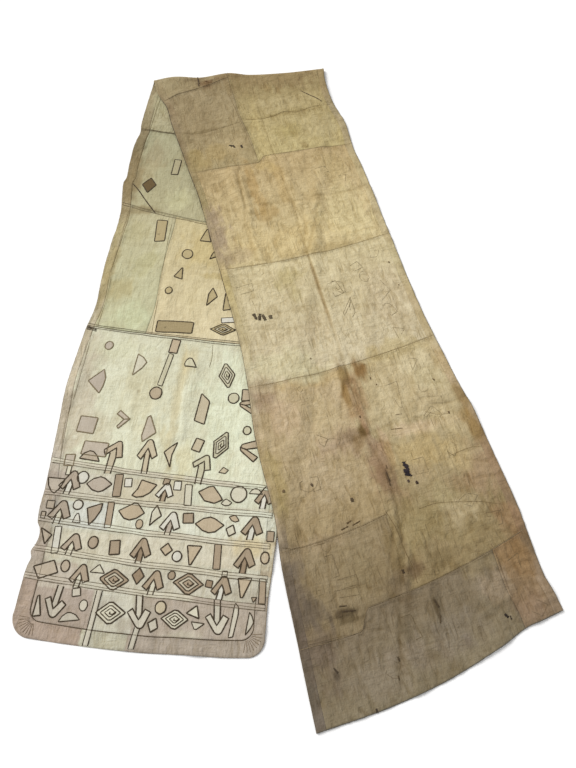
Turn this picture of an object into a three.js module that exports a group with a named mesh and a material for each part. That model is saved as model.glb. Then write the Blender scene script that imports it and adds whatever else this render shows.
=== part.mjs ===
import * as THREE from 'three';

// Kuba cloth: one long strip of raffia panels sewn edge to edge, with a border down both sides and a pleated
// binding round one end. It is folded over once and lies flat, its two arms spread. Millimetres, +Z up.
//
// The strip has its own two directions. Along it, 0 is at the middle of the fold: plus runs down the front
// arm, which lies on top with the back of the cloth up, and minus runs down the rear arm, which lies
// underneath with the worked face up. Across it, minus is the left edge of both arms.

// Driving dimensions
const THICKNESS = 1.6;
const SEAM_GAP = 0.3;
const LAYER_CLEARANCE = 2.2;
const SETTLE_LENGTH = 110;
const EDGE_DROP = { from: 6, to: 70 };
const FOLD_TURN = THREE.MathUtils.degToRad(5.5);
const FOLD_SKEW = THREE.MathUtils.degToRad(9);
const FOLD_AT = { x: -212.2, y: 1210.7 };
const FOLD_ZONE = 22;

// Resolution of the sheets
const COLUMNS = 22;
const ROW_PITCH = 60;
const FOLD_ROWS = 12;
const CORNER_STEPS = 6;
const FOLD_LINE_PASSES = 6;
const PROBE = 0.5;

// How far the border reaches past the field, as a share of the field's width
const BORDER_SHARE = 0.045;

// The strip's two edges
const EDGES = [
  { along: -2300, left: -386, right: 290 },
  { along: -2170, left: -384, right: 290 },
  { along: -2110, left: -381, right: 294 },
  { along: -2085, left: -375, right: 296 },
  { along: -2068, left: -381, right: 297 },
  { along: -2048, left: -373, right: 298 },
  { along: -2024, left: -369, right: 300 },
  { along: -2002, left: -374, right: 301 },
  { along: -1984, left: -384, right: 302 },
  { along: -1890, left: -387, right: 305 },
  { along: -1550, left: -402, right: 315 },
  { along: -1350, left: -391, right: 325 },
  { along: -1230, left: -375, right: 330 },
  { along: -1070, left: -381, right: 335 },
  { along: -840, left: -371, right: 343 },
  { along: -660, left: -391, right: 349 },
  { along: -630, left: -384, right: 350 },
  { along: -560, left: -387, right: 352 },
  { along: -450, left: -383, right: 356 },
  { along: -372, left: -376, right: 358 },
  { along: -330, left: -380, right: 360 },
  { along: -60, left: -372, right: 370 },
  { along: 40, left: -366, right: 370 },
  { along: 130, left: -344, right: 353 },
  { along: 240, left: -341, right: 347 },
  { along: 400, left: -328, right: 361 },
  { along: 540, left: -318, right: 351 },
  { along: 680, left: -306, right: 353 },
  { along: 1000, left: -299, right: 346 },
  { along: 1340, left: -294, right: 341 },
  { along: 1500, left: -303, right: 347 },
  { along: 1660, left: -319, right: 358 },
  { along: 1760, left: -322, right: 366 },
  { along: 1930, left: -321, right: 369 },
  { along: 2070, left: -335, right: 370 },
  { along: 2270, left: -342, right: 358 },
  { along: 2350, left: -345, right: 367 },
  { along: 2480, left: -349, right: 360 },
];

// Width of the side borders
const BORDERS = [
  { along: -2300, left: 42, right: 33 },
  { along: -2110, left: 40, right: 32 },
  { along: -2085, left: 34, right: 32 },
  { along: -2068, left: 40, right: 32 },
  { along: -2048, left: 33, right: 31 },
  { along: -2024, left: 30, right: 31 },
  { along: -2002, left: 35, right: 31 },
  { along: -1984, left: 44, right: 30 },
  { along: -1890, left: 36, right: 29 },
  { along: -1780, left: 28, right: 28 },
  { along: -1300, left: 25, right: 28 },
  { along: -760, left: 36, right: 28 },
  { along: -200, left: 38, right: 28 },
  { along: 200, left: 28, right: 28 },
  { along: 2480, left: 26, right: 26 },
];

// Seams across the strip: where each crosses the field's left side, middle and right side. A stepped seam
// is further along by the step, left of the column where it steps.
const SEAMS = {
  rearEnd: { left: -2284, middle: -2305, right: -2300 },
  rearField: { left: -1808, middle: -1829, right: -1850 },
  rearMiddle: { left: -1324, middle: -1353, right: -1372 },
  rearTop: { left: -778, middle: -852, right: -880 },
  rearHidden: { left: -362, middle: -408, right: -436 },
  foldBack: { left: -45, middle: -62, right: -92 },
  foldFront: { left: 75, middle: 32, right: 104 },
  frontYellow: { left: 497, middle: 508, right: 520, stepColumn: 9, step: 33 },
  frontTan: { left: 1030, middle: 1036, right: 1010 },
  frontPale: { left: 1510, middle: 1503, right: 1468 },
  frontBrown: { left: 2030, middle: 1995, right: 1890 },
  frontLower: { left: 2232, middle: 2212, right: 2144, stepColumn: 5, step: 50 },
};

// The hem at the front end, which bows out and kinks near its right corner
const HEM = [
  { share: -0.05, along: 2471 },
  { share: 0.25, along: 2463 },
  { share: 0.5, along: 2442 },
  { share: 0.75, along: 2403 },
  { share: 0.87, along: 2378 },
  { share: 0.94, along: 2372 },
  { share: 1.05, along: 2362 },
];

// Panels of the field: the lines that each runs between, its first and last column, and its colour
const PANELS = [
  { name: 'rear_end_panel', lines: ['binding', 'rearField'], columns: [0, 22], colour: 0xcfc6a2 },
  { name: 'rear_field_panel', lines: ['rearField', 'rearMiddle'], columns: [0, 22], colour: 0xd8d6b2 },
  { name: 'rear_side_panel', lines: ['rearMiddle', 'rearTop'], columns: [0, 6], colour: 0xc3c49a },
  { name: 'rear_middle_panel', lines: ['rearMiddle', 'rearTop'], columns: [6, 22], colour: 0xcfc493 },
  { name: 'rear_top_panel', lines: ['rearTop', 'rearHidden'], columns: [0, 22], colour: 0xc2be96 },
  { name: 'rear_hidden_panel', lines: ['rearHidden', 'foldBack'], columns: [9, 22], colour: 0xb9b18a },
  {
    name: 'fold_panel',
    lines: ['rearHidden', 'rollBack', 'rollFront', 'foldFront'],
    columns: [0, 9],
    colour: 0xb2a582,
  },
  { name: 'front_grey_panel', lines: ['foldFront', 'frontYellow'], columns: [0, 9], colour: 0x9c8a6a },
  {
    name: 'front_yellow_panel',
    lines: ['foldBack', 'rollBack', 'rollFront', 'foldFront', 'frontYellow'],
    columns: [9, 22],
    colour: 0xb7a477,
  },
  { name: 'front_tan_panel', lines: ['frontYellow', 'frontTan'], columns: [0, 22], colour: 0xbba97d },
  { name: 'front_pale_panel', lines: ['frontTan', 'frontPale'], columns: [0, 22], colour: 0xc9ba90 },
  { name: 'front_brown_panel_left', lines: ['frontPale', 'frontBrown'], columns: [0, 10], colour: 0xa8916a },
  {
    name: 'front_brown_panel_right',
    lines: ['frontPale', 'frontBrown', 'frontLower'],
    columns: [10, 22],
    colour: 0xad9a70,
  },
  { name: 'front_lower_panel', lines: ['frontBrown', 'frontLower'], columns: [0, 10], colour: 0x8f7c5f },
  { name: 'front_end_panel', lines: ['frontLower', 'frontEnd'], columns: [0, 19], colour: 0x857863 },
  { name: 'front_end_patch', lines: ['frontLower', 'frontEnd'], columns: [19, 22], colour: 0x8d7353 },
];

// Side borders of the two arms, row by row with the panels beside them
const SIDE_BORDERS = [
  {
    name: 'border_rear_left',
    side: 'left',
    lines: ['legTop', 'rearField', 'rearMiddle', 'rearTop', 'rearHidden', 'rollBack'],
  },
  {
    name: 'border_rear_right',
    side: 'right',
    lines: ['legTop', 'rearField', 'rearMiddle', 'rearTop', 'rearHidden', 'foldBack', 'rollBack'],
  },
  {
    name: 'border_front_left',
    side: 'left',
    lines: ['rollBack', 'rollFront', 'foldFront', 'frontYellow', 'frontTan', 'frontPale', 'frontBrown',
      'frontLower', 'frontEnd'],
  },
  {
    name: 'border_front_right',
    side: 'right',
    lines: ['rollBack', 'rollFront', 'foldFront', 'frontYellow', 'frontTan', 'frontPale', 'frontBrown',
      'frontLower', 'frontEnd'],
  },
];
const BORDER_COLOUR = 0xb4a47c;

// The binding round the rear end. Its two legs run beside the first rows of the end panel.
const BINDING = { width: 40, innerRadius: 30, leftRadius: 52, rightRadius: 42, colour: 0xc0b08a };
const END_ROWS = 10;
const LEG_ROWS = 2;

// The rolled fold, by place along the fold line: its radius, and how far it reaches past that line
const ROLL = [
  { at: -380, radius: 7, reach: 3 },
  { at: -285, radius: 11, reach: 13 },
  { at: -170, radius: 8, reach: 3 },
  { at: -50, radius: 12, reach: 13 },
  { at: 40, radius: 8, reach: 1 },
  { at: 200, radius: 7, reach: 1 },
  { at: 300, radius: 7, reach: 8 },
  { at: 380, radius: 6, reach: 18 },
];

// Soft folds and lifted edges that stand off the surface, each a ridge from one place to another
const FOLDS = [
  { name: 'fold puff left', from: [60, -290], to: [110, -180], width: 46, height: 5 },
  { name: 'fold puff middle', from: [50, -60], to: [70, 40], width: 42, height: 4 },
  { name: 'front left quarter', from: [560, -150], to: [1010, -150], width: 42, height: 6 },
  { name: 'front centre upper', from: [540, 40], to: [980, 75], width: 40, height: 5 },
  { name: 'front right of centre', from: [720, 150], to: [1010, 50], width: 38, height: 4 },
  { name: 'front right upper', from: [1240, 180], to: [1420, 130], width: 36, height: 3 },
  { name: 'front centre middle', from: [1080, 40], to: [1460, 25], width: 38, height: 4 },
  { name: 'front centre brown', from: [1510, 0], to: [1800, 5], width: 42, height: 7 },
  { name: 'front centre lower', from: [1840, 30], to: [2170, -20], width: 44, height: 9 },
  { name: 'front beside centre', from: [1950, -30], to: [2160, -55], width: 34, height: 5 },
  { name: 'front right lower', from: [2090, 60], to: [2300, 20], width: 40, height: 6 },
  { name: 'front end centre', from: [2290, -70], to: [2440, -70], width: 38, height: 5 },
  { name: 'front brown left', from: [1580, -140], to: [1720, -190], width: 38, height: 5 },
  { name: 'front left edge 1', from: [250, -345], to: [330, -300], width: 48, height: 6 },
  { name: 'front left edge 2', from: [560, -325], to: [680, -290], width: 48, height: 7 },
  { name: 'front left edge 3', from: [960, -310], to: [1060, -280], width: 46, height: 6 },
  { name: 'front left edge 4', from: [1330, -300], to: [1400, -270], width: 44, height: 4 },
  { name: 'front left edge 5', from: [1700, -330], to: [1800, -300], width: 46, height: 5 },
  { name: 'front right edge 1', from: [380, 360], to: [470, 330], width: 44, height: 5 },
  { name: 'front right edge 2', from: [780, 350], to: [860, 320], width: 44, height: 4 },
  { name: 'front right edge 3', from: [1740, 370], to: [1820, 335], width: 44, height: 4 },
  { name: 'front end right corner', from: [2310, 340], to: [2350, 290], width: 50, height: 6 },
  { name: 'front hem', from: [2420, 120], to: [2380, 180], width: 44, height: 4 },
  { name: 'rear left edge 1', from: [-480, -390], to: [-400, -345], width: 46, height: 5 },
  { name: 'rear left edge 2', from: [-960, -385], to: [-900, -340], width: 46, height: 5 },
  { name: 'rear left edge 3', from: [-1180, -385], to: [-1110, -345], width: 44, height: 4 },
  { name: 'rear left edge 4', from: [-1600, -405], to: [-1500, -370], width: 46, height: 5 },
  { name: 'rear left edge 5', from: [-1950, -385], to: [-1900, -350], width: 44, height: 4 },
  { name: 'rear field', from: [-1700, -30], to: [-1440, 0], width: 40, height: 4 },
  { name: 'rear middle', from: [-1250, -130], to: [-950, -150], width: 38, height: 3 },
  { name: 'rear hem', from: [-2296, 110], to: [-2262, 120], width: 42, height: 4 },
];

const lerp = THREE.MathUtils.lerp;
const smoothstep = THREE.MathUtils.smoothstep;

// A smooth curve through one column of a table, by the key column's value
function read(table, key, column, at) {
  let row = 1;
  while (row < table.length - 1 && table[row][key] < at) row += 1;
  const before = table[Math.max(row - 2, 0)];
  const low = table[row - 1];
  const high = table[row];
  const after = table[Math.min(row + 1, table.length - 1)];
  const span = high[key] - low[key];
  const share = THREE.MathUtils.clamp((at - low[key]) / span, 0, 1);
  const startSlope = (high[column] - before[column]) / (high[key] - before[key]) * span;
  const endSlope = (after[column] - low[column]) / (after[key] - low[key]) * span;
  const square = share * share;
  const cube = square * share;
  return (2 * cube - 3 * square + 1) * low[column] + (cube - 2 * square + share) * startSlope
    + (3 * square - 2 * cube) * high[column] + (cube - square) * endSlope;
}

// Where the strip's edges and the field's sides run
const leftEdge = (along) => read(EDGES, 'along', 'left', along);
const rightEdge = (along) => read(EDGES, 'along', 'right', along);
const fieldLeft = (along) => leftEdge(along) + read(BORDERS, 'along', 'left', along);
const fieldRight = (along) => rightEdge(along) - read(BORDERS, 'along', 'right', along);

// The place across the strip for a share of the field's width; shares outside 0 to 1 are on the borders
function acrossAt(along, share) {
  const left = fieldLeft(along);
  const right = fieldRight(along);
  if (share < 0) return lerp(left, leftEdge(along), -share / BORDER_SHARE);
  if (share > 1) return lerp(right, rightEdge(along), (share - 1) / BORDER_SHARE);
  return lerp(left, right, share);
}

// How far along the strip a seam is, for a share of the field's width
function seamAt(seam, share) {
  const { left, middle, right, stepColumn = 0, step = 0 } = SEAMS[seam];
  const curve = left * (1 - share) * (1 - 2 * share) + middle * 4 * share * (1 - share)
    + right * share * (2 * share - 1);
  const past = THREE.MathUtils.clamp(share * COLUMNS - stepColumn, 0, 1);
  return curve + step * (1 - past);
}

// How far along the strip a line parallel to the fold is, at a distance from it
function foldLineAt(distance, share) {
  let along = 0;
  for (let pass = 0; pass < FOLD_LINE_PASSES; pass += 1) {
    along = (distance + acrossAt(along, share) * Math.sin(FOLD_SKEW)) / Math.cos(FOLD_SKEW);
  }
  return along;
}

// Distance from a place to a line between two others
function distanceToLine(along, across, [fromAlong, fromAcross], [toAlong, toAcross]) {
  const run = toAlong - fromAlong;
  const rise = toAcross - fromAcross;
  const share = ((along - fromAlong) * run + (across - fromAcross) * rise) / (run * run + rise * rise);
  const nearest = THREE.MathUtils.clamp(share, 0, 1);
  return Math.hypot(along - fromAlong - nearest * run, across - fromAcross - nearest * rise);
}

// How far the cloth stands off what it lies on
function relief(along, across) {
  return FOLDS.reduce((sum, fold) => {
    const distance = distanceToLine(along, across, fold.from, fold.to);
    if (distance >= fold.width) return sum;
    return sum + fold.height * 0.5 * (1 + Math.cos(Math.PI * distance / fold.width));
  }, 0);
}

// Height of the middle of the cloth where it lies, away from the roll of the fold
function restHeight(off, side, along, across) {
  if (off < 0) return THICKNESS / 2 + relief(along, across);
  const belowAlong = side * Math.sin(FOLD_SKEW) - off * Math.cos(FOLD_SKEW);
  const belowAcross = side * Math.cos(FOLD_SKEW) + off * Math.sin(FOLD_SKEW);
  const pastEdge = belowAcross - rightEdge(belowAlong);
  const covered = 1 - smoothstep(pastEdge, EDGE_DROP.from, EDGE_DROP.to);
  const layer = THICKNESS + LAYER_CLEARANCE + relief(belowAlong, belowAcross);
  return THICKNESS / 2 + covered * layer + relief(along, across);
}

// The middle of the cloth's thickness, laid on the surface
function middleAt(along, across) {
  const off = along * Math.cos(FOLD_SKEW) - across * Math.sin(FOLD_SKEW);
  const side = across * Math.cos(FOLD_SKEW) + along * Math.sin(FOLD_SKEW);
  const radius = read(ROLL, 'at', 'radius', side);
  const half = radius * Math.PI / 2;
  const distance = Math.abs(off);
  let out = radius + distance - half;
  let height = restHeight(off, side, along, across);
  if (distance < half) {
    out = radius - radius * Math.cos(off / radius);
    height = THICKNESS / 2 + radius + radius * Math.sin(off / radius);
  } else {
    const onRoll = THICKNESS / 2 + (off > 0 ? 2 * radius : 0);
    height = lerp(onRoll, height, smoothstep(distance - half, 0, SETTLE_LENGTH));
  }
  out -= read(ROLL, 'at', 'reach', side) * (1 - smoothstep(distance, 0, SETTLE_LENGTH));
  return new THREE.Vector3(
    FOLD_AT.x + side * Math.cos(FOLD_TURN) + out * Math.sin(FOLD_TURN),
    FOLD_AT.y + side * Math.sin(FOLD_TURN) - out * Math.cos(FOLD_TURN),
    height,
  );
}

// The way that the back of the cloth faces
function normalAt(along, across) {
  const alongStep = middleAt(along + PROBE, across).sub(middleAt(along - PROBE, across));
  const acrossStep = middleAt(along, across + PROBE).sub(middleAt(along, across - PROBE));
  return alongStep.cross(acrossStep).normalize();
}

// A closed sheet of the cloth's thickness over a grid of places, given as rows of [along, across]
function sheetGeometry(rows) {
  const rowCount = rows.length;
  const columnCount = rows[0].length;
  const positions = [];
  [THICKNESS / 2, -THICKNESS / 2].forEach((offset) => {
    rows.forEach((row) => row.forEach(([along, across]) => {
      const point = middleAt(along, across).addScaledVector(normalAt(along, across), offset);
      positions.push(point.x, point.y, point.z);
    }));
  });
  const vertex = (layer, row, column) => (layer * rowCount + row) * columnCount + column;
  const triangles = [];
  const quad = (a, b, c, d) => triangles.push(a, b, c, a, c, d);
  for (let i = 0; i < rowCount - 1; i += 1) {
    for (let j = 0; j < columnCount - 1; j += 1) {
      quad(vertex(0, i, j), vertex(0, i + 1, j), vertex(0, i + 1, j + 1), vertex(0, i, j + 1));
      quad(vertex(1, i, j), vertex(1, i, j + 1), vertex(1, i + 1, j + 1), vertex(1, i + 1, j));
    }
  }
  const lastRow = rowCount - 1;
  const lastColumn = columnCount - 1;
  for (let i = 0; i < lastRow; i += 1) {
    quad(vertex(0, i, 0), vertex(1, i, 0), vertex(1, i + 1, 0), vertex(0, i + 1, 0));
    quad(vertex(0, i, lastColumn), vertex(0, i + 1, lastColumn), vertex(1, i + 1, lastColumn),
      vertex(1, i, lastColumn));
  }
  for (let j = 0; j < lastColumn; j += 1) {
    quad(vertex(0, 0, j), vertex(0, 0, j + 1), vertex(1, 0, j + 1), vertex(1, 0, j));
    quad(vertex(0, lastRow, j), vertex(1, lastRow, j), vertex(1, lastRow, j + 1), vertex(0, lastRow, j + 1));
  }
  const geometry = new THREE.BufferGeometry();
  geometry.setAttribute('position', new THREE.Float32BufferAttribute(positions, 3));
  geometry.setIndex(triangles);
  geometry.computeVertexNormals();
  return geometry;
}

function sheetMesh(name, rows, colour) {
  const material = new THREE.MeshStandardMaterial({ color: colour, roughness: 0.9, metalness: 0 });
  const mesh = new THREE.Mesh(sheetGeometry(rows), material);
  mesh.name = name;
  return mesh;
}

// The edge of the field where the binding starts, with a rounded corner at each side
function bindingLineAt(share) {
  const end = seamAt('rearEnd', share);
  const left = fieldLeft(end);
  const right = fieldRight(end);
  const across = lerp(left, right, THREE.MathUtils.clamp(share, 0, 1));
  const radius = BINDING.innerRadius;
  const past = Math.max(radius - Math.min(across - left, right - across), 0);
  return end + BINDING.width + radius - Math.sqrt(Math.max(radius * radius - past * past, 0));
}

// How far along the strip a line that the pieces run between is, for a share of the field's width
function lineAt(line, share) {
  if (line === 'rollBack') return foldLineAt(-FOLD_ZONE, share);
  if (line === 'rollFront') return foldLineAt(FOLD_ZONE, share);
  if (line === 'binding') return bindingLineAt(share);
  if (line === 'frontEnd') return read(HEM, 'share', 'along', share);
  if (line === 'legTop') return lerp(bindingLineAt(share), seamAt('rearField', share), LEG_ROWS / END_ROWS);
  return seamAt(line, share);
}

function rowCountBetween(from, to) {
  if (from === 'binding') return END_ROWS;
  if (from === 'legTop') return END_ROWS - LEG_ROWS;
  if (from === 'rollBack') return FOLD_ROWS;
  return Math.max(2, Math.round((lineAt(to, 0.5) - lineAt(from, 0.5)) / ROW_PITCH));
}

// Rows of places between lines, for a list of shares of the field's width. The sheet stops half a seam gap
// short of its four sides.
function rowsBetween(lines, shares) {
  const rows = [];
  lines.slice(1).forEach((to, part) => {
    const from = lines[part];
    const count = rowCountBetween(from, to);
    for (let step = part === 0 ? 0 : 1; step <= count; step += 1) {
      rows.push(shares.map((share) => lerp(lineAt(from, share), lineAt(to, share), step / count)));
    }
  });
  const lastRow = rows.length - 1;
  const lastColumn = shares.length - 1;
  return rows.map((row, i) => row.map((place, j) => {
    const across = acrossAt(place, shares[j]);
    const rowInset = (i === 0 ? 1 : 0) - (i === lastRow ? 1 : 0);
    const columnInset = (j === 0 ? 1 : 0) - (j === lastColumn ? 1 : 0);
    return [place + rowInset * SEAM_GAP / 2, across + columnInset * SEAM_GAP / 2];
  }));
}

// Shares of the field's width at the rear end, closer together at its two rounded corners
function endShares() {
  const end = SEAMS.rearEnd.middle;
  const corner = [];
  for (let step = 0; step <= CORNER_STEPS; step += 1) {
    const angle = step / CORNER_STEPS * Math.PI / 2;
    corner.push(BINDING.innerRadius * (1 - Math.cos(angle)) / (fieldRight(end) - fieldLeft(end)));
  }
  const middle = [];
  for (let column = 2; column <= COLUMNS - 2; column += 1) middle.push(column / COLUMNS);
  return [...corner, ...middle, ...corner.map((share) => 1 - share).reverse()];
}

function panelMesh({ name, lines, columns, colour }) {
  const [first, last] = columns;
  const even = Array.from({ length: last - first + 1 }, (_, index) => (first + index) / COLUMNS);
  const shares = lines[0] === 'binding' ? endShares() : even;
  return sheetMesh(name, rowsBetween(lines, shares), colour);
}

function borderMesh({ name, side, lines }) {
  const first = side === 'left' ? -BORDER_SHARE : 1;
  const shares = [first, first + BORDER_SHARE / 2, first + BORDER_SHARE];
  return sheetMesh(name, rowsBetween(lines, shares), BORDER_COLOUR);
}

// The inner edge of the binding: down one leg, along the end of the field and up the other leg
function bindingInnerEdge(shares) {
  const leg = (share) => {
    const top = lineAt('legTop', share) - SEAM_GAP / 2;
    const foot = bindingLineAt(share);
    const places = [];
    for (let row = 0; row < LEG_ROWS; row += 1) places.push(lerp(top, foot, row / LEG_ROWS));
    return places.map((place) => [place, acrossAt(place, share)]);
  };
  const end = shares.map((share) => [bindingLineAt(share), acrossAt(bindingLineAt(share), share)]);
  return [...leg(0), ...end, ...leg(1).reverse()];
}

// The outer edge of the binding, place for place with its inner edge
function bindingOuterEdge(shares) {
  const { leftRadius, rightRadius } = BINDING;
  const middle = SEAMS.rearEnd.middle;
  const leftSide = leftEdge(middle);
  const rightSide = rightEdge(middle);
  const place = (across, above) => {
    const share = THREE.MathUtils.clamp((across - leftSide) / (rightSide - leftSide), 0, 1);
    return [seamAt('rearEnd', share) + above, across];
  };
  const leg = (share, side, radius) => {
    const top = lineAt('legTop', share) - SEAM_GAP / 2;
    const foot = seamAt('rearEnd', share) + radius;
    const places = [];
    for (let row = 0; row < LEG_ROWS; row += 1) places.push(lerp(top, foot, row / LEG_ROWS));
    return places.map((along) => [along, side(along)]);
  };
  const last = shares.length - 1;
  const end = shares.map((share, index) => {
    const fromLeft = Math.min(index / CORNER_STEPS, 1) * Math.PI / 2;
    const fromRight = Math.min((last - index) / CORNER_STEPS, 1) * Math.PI / 2;
    const leftCut = leftRadius * (1 - Math.cos(fromLeft));
    const rightCut = rightRadius * (1 - Math.cos(fromRight));
    if (index <= CORNER_STEPS) return place(leftSide + leftCut, leftRadius * (1 - Math.sin(fromLeft)));
    if (index >= last - CORNER_STEPS) {
      return place(rightSide - rightCut, rightRadius * (1 - Math.sin(fromRight)));
    }
    const first = shares[CORNER_STEPS];
    const run = (share - first) / (1 - 2 * first);
    return place(lerp(leftSide + leftRadius, rightSide - rightRadius, run), 0);
  });
  return [...leg(0, leftEdge, leftRadius), ...end, ...leg(1, rightEdge, rightRadius).reverse()];
}

// The binding, a seam gap clear of the field all the way round
function bindingMesh() {
  const shares = endShares();
  const outer = bindingOuterEdge(shares);
  const inner = bindingInnerEdge(shares).map(([along, across], index, edge) => {
    const before = edge[Math.max(index - 1, 0)];
    const after = edge[Math.min(index + 1, edge.length - 1)];
    const run = [after[0] - before[0], after[1] - before[1]];
    const length = Math.hypot(...run);
    return [along - run[1] / length * SEAM_GAP, across + run[0] / length * SEAM_GAP];
  });
  const rows = inner.map((place, index) => [0, 0.5, 1].map((share) => [
    lerp(place[0], outer[index][0], share),
    lerp(place[1], outer[index][1], share),
  ]));
  return sheetMesh('end_binding', rows, BINDING.colour);
}

const cloth = new THREE.Group();
PANELS.forEach((panel) => cloth.add(panelMesh(panel)));
SIDE_BORDERS.forEach((border) => cloth.add(borderMesh(border)));
cloth.add(bindingMesh());

export default cloth;
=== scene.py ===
import math

import bpy
import numpy as np
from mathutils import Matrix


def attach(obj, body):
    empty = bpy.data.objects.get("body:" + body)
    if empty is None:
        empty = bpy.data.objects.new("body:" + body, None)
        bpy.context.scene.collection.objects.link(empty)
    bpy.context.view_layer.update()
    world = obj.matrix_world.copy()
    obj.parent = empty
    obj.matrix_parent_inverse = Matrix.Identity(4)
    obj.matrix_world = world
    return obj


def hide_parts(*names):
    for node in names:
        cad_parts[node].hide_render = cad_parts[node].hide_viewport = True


# Kuba cloth: a long patched raffia strip, folded over once and laid flat on the floor. The rear arm lies
# underneath with its applied motifs up, and the front arm lies on top with its worn reverse up.
#
# The cloth is measured in millimetres in the strip's own two directions, as its solids are. Along it, 0 is
# at the middle of the fold, plus runs down the front arm and minus down the rear arm. Across it, minus is
# the left edge of both arms.

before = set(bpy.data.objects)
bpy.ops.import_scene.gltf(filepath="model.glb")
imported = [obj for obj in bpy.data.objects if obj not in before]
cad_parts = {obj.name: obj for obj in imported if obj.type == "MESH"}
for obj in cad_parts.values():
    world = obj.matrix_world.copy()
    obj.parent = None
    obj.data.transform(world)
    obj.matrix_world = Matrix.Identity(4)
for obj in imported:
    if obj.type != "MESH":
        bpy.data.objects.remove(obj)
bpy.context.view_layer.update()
bpy.ops.object.select_all(action="DESELECT")

MM = 0.001


def table(columns, *rows):
    """A short table with named columns."""
    names = columns.split()
    return [dict(zip(names, row)) for row in rows]


# The camera of the photograph
CAMERA_AT = (-0.0012, -1.1413, 1.650)
CAMERA_TILT = math.radians(27)
CAMERA_LENS = 27.0
CAMERA_SENSOR = 36.0

# How the cloth lies
THICKNESS = 1.6
LAYER_CLEARANCE = 2.2
SETTLE_LENGTH = 110
EDGE_DROP_FROM = 6
EDGE_DROP_TO = 70
FOLD_TURN = math.radians(5.5)
FOLD_SKEW = math.radians(9)
FOLD_AT_X = -212.2
FOLD_AT_Y = 1210.7
FOLD_ZONE = 22
FOLD_LINE_PASSES = 6
PROBE = 1.0
COLUMNS = 22
BORDER_SHARE = 0.045

# The cloth's mesh
FRONT_PITCH = 4.6
REAR_PITCH = 5.6
EDGE_STEPS = (0.0, 1.6, 3.4, 6.0)
FIELD_WIDTH = 620.0
BINDING_OUTER_STEPS = 14

EDGES = table(
    "along left right",
    (-2300, -386, 290), (-2170, -384, 290), (-2110, -381, 294), (-2085, -375, 296), (-2068, -381, 297),
    (-2048, -373, 298), (-2024, -369, 300), (-2002, -374, 301), (-1984, -384, 302), (-1890, -387, 305),
    (-1550, -402, 315), (-1350, -391, 325), (-1230, -375, 330), (-1070, -381, 335), (-840, -371, 343),
    (-660, -391, 349), (-630, -384, 350), (-560, -387, 352), (-450, -383, 356), (-372, -376, 358),
    (-330, -380, 360), (-60, -372, 370), (40, -366, 370), (130, -344, 353), (240, -341, 347),
    (400, -328, 361), (540, -318, 351), (680, -306, 353), (1000, -299, 346), (1340, -294, 341),
    (1500, -303, 347), (1660, -319, 358), (1760, -322, 366), (1930, -321, 369), (2070, -335, 370),
    (2270, -342, 358), (2350, -345, 367), (2480, -349, 360),
)
BORDERS = table(
    "along left right",
    (-2300, 42, 33), (-2110, 40, 32), (-2085, 34, 32), (-2068, 40, 32), (-2048, 33, 31), (-2024, 30, 31),
    (-2002, 35, 31), (-1984, 44, 30), (-1890, 36, 29), (-1780, 28, 28), (-1300, 25, 28), (-760, 36, 28),
    (-200, 38, 28), (200, 28, 28), (2480, 26, 26),
)
SEAMS = {
    "rearEnd": (-2284, -2305, -2300),
    "rearField": (-1808, -1829, -1850),
    "rearMiddle": (-1324, -1353, -1372),
    "rearTop": (-778, -852, -880),
    "rearHidden": (-362, -408, -436),
    "foldBack": (-45, -62, -92),
    "foldFront": (75, 32, 104),
    "frontYellow": (497, 508, 520),
    "frontTan": (1030, 1036, 1010),
    "frontPale": (1510, 1503, 1468),
    "frontBrown": (2030, 1995, 1890),
    "frontLower": (2232, 2212, 2144),
}
SEAM_STEPS = {"frontYellow": (9, 33), "frontLower": (5, 50)}
HEM = table(
    "share along",
    (-0.05, 2471), (0.25, 2463), (0.5, 2442), (0.75, 2403), (0.87, 2378), (0.94, 2372), (1.05, 2362),
)
ROLL = table(
    "at radius reach",
    (-380, 7, 3), (-285, 11, 13), (-170, 8, 3), (-50, 12, 13), (40, 8, 1), (200, 7, 1), (300, 7, 8),
    (380, 6, 18),
)

# Soft folds of the lying cloth, as its solids have them
FOLDS = table(
    "from_along from_across to_along to_across width height",
    (60, -290, 110, -180, 46, 5), (50, -60, 70, 40, 42, 4), (560, -150, 1010, -150, 42, 6),
    (540, 40, 980, 75, 40, 5), (720, 150, 1010, 50, 38, 4), (1240, 180, 1420, 130, 36, 3),
    (1080, 40, 1460, 25, 38, 4), (1510, 0, 1800, 5, 42, 7), (1840, 30, 2170, -20, 44, 9),
    (1950, -30, 2160, -55, 34, 5), (2090, 60, 2300, 20, 40, 6), (2290, -70, 2440, -70, 38, 5),
    (1580, -140, 1720, -190, 38, 5), (250, -345, 330, -300, 48, 6), (560, -325, 680, -290, 48, 7),
    (960, -310, 1060, -280, 46, 6), (1330, -300, 1400, -270, 44, 4), (1700, -330, 1800, -300, 46, 5),
    (380, 360, 470, 330, 44, 5), (780, 350, 860, 320, 44, 4), (1740, 370, 1820, 335, 44, 4),
    (2310, 340, 2350, 290, 50, 6), (2420, 120, 2380, 180, 44, 4), (-480, -390, -400, -345, 46, 5),
    (-960, -385, -900, -340, 46, 5), (-1180, -385, -1110, -345, 44, 4), (-1600, -405, -1500, -370, 46, 5),
    (-1950, -385, -1900, -350, 44, 4), (-1700, -30, -1440, 0, 40, 4), (-1250, -130, -950, -150, 38, 3),
    (-2296, 110, -2262, 120, 42, 4),
)

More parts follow.
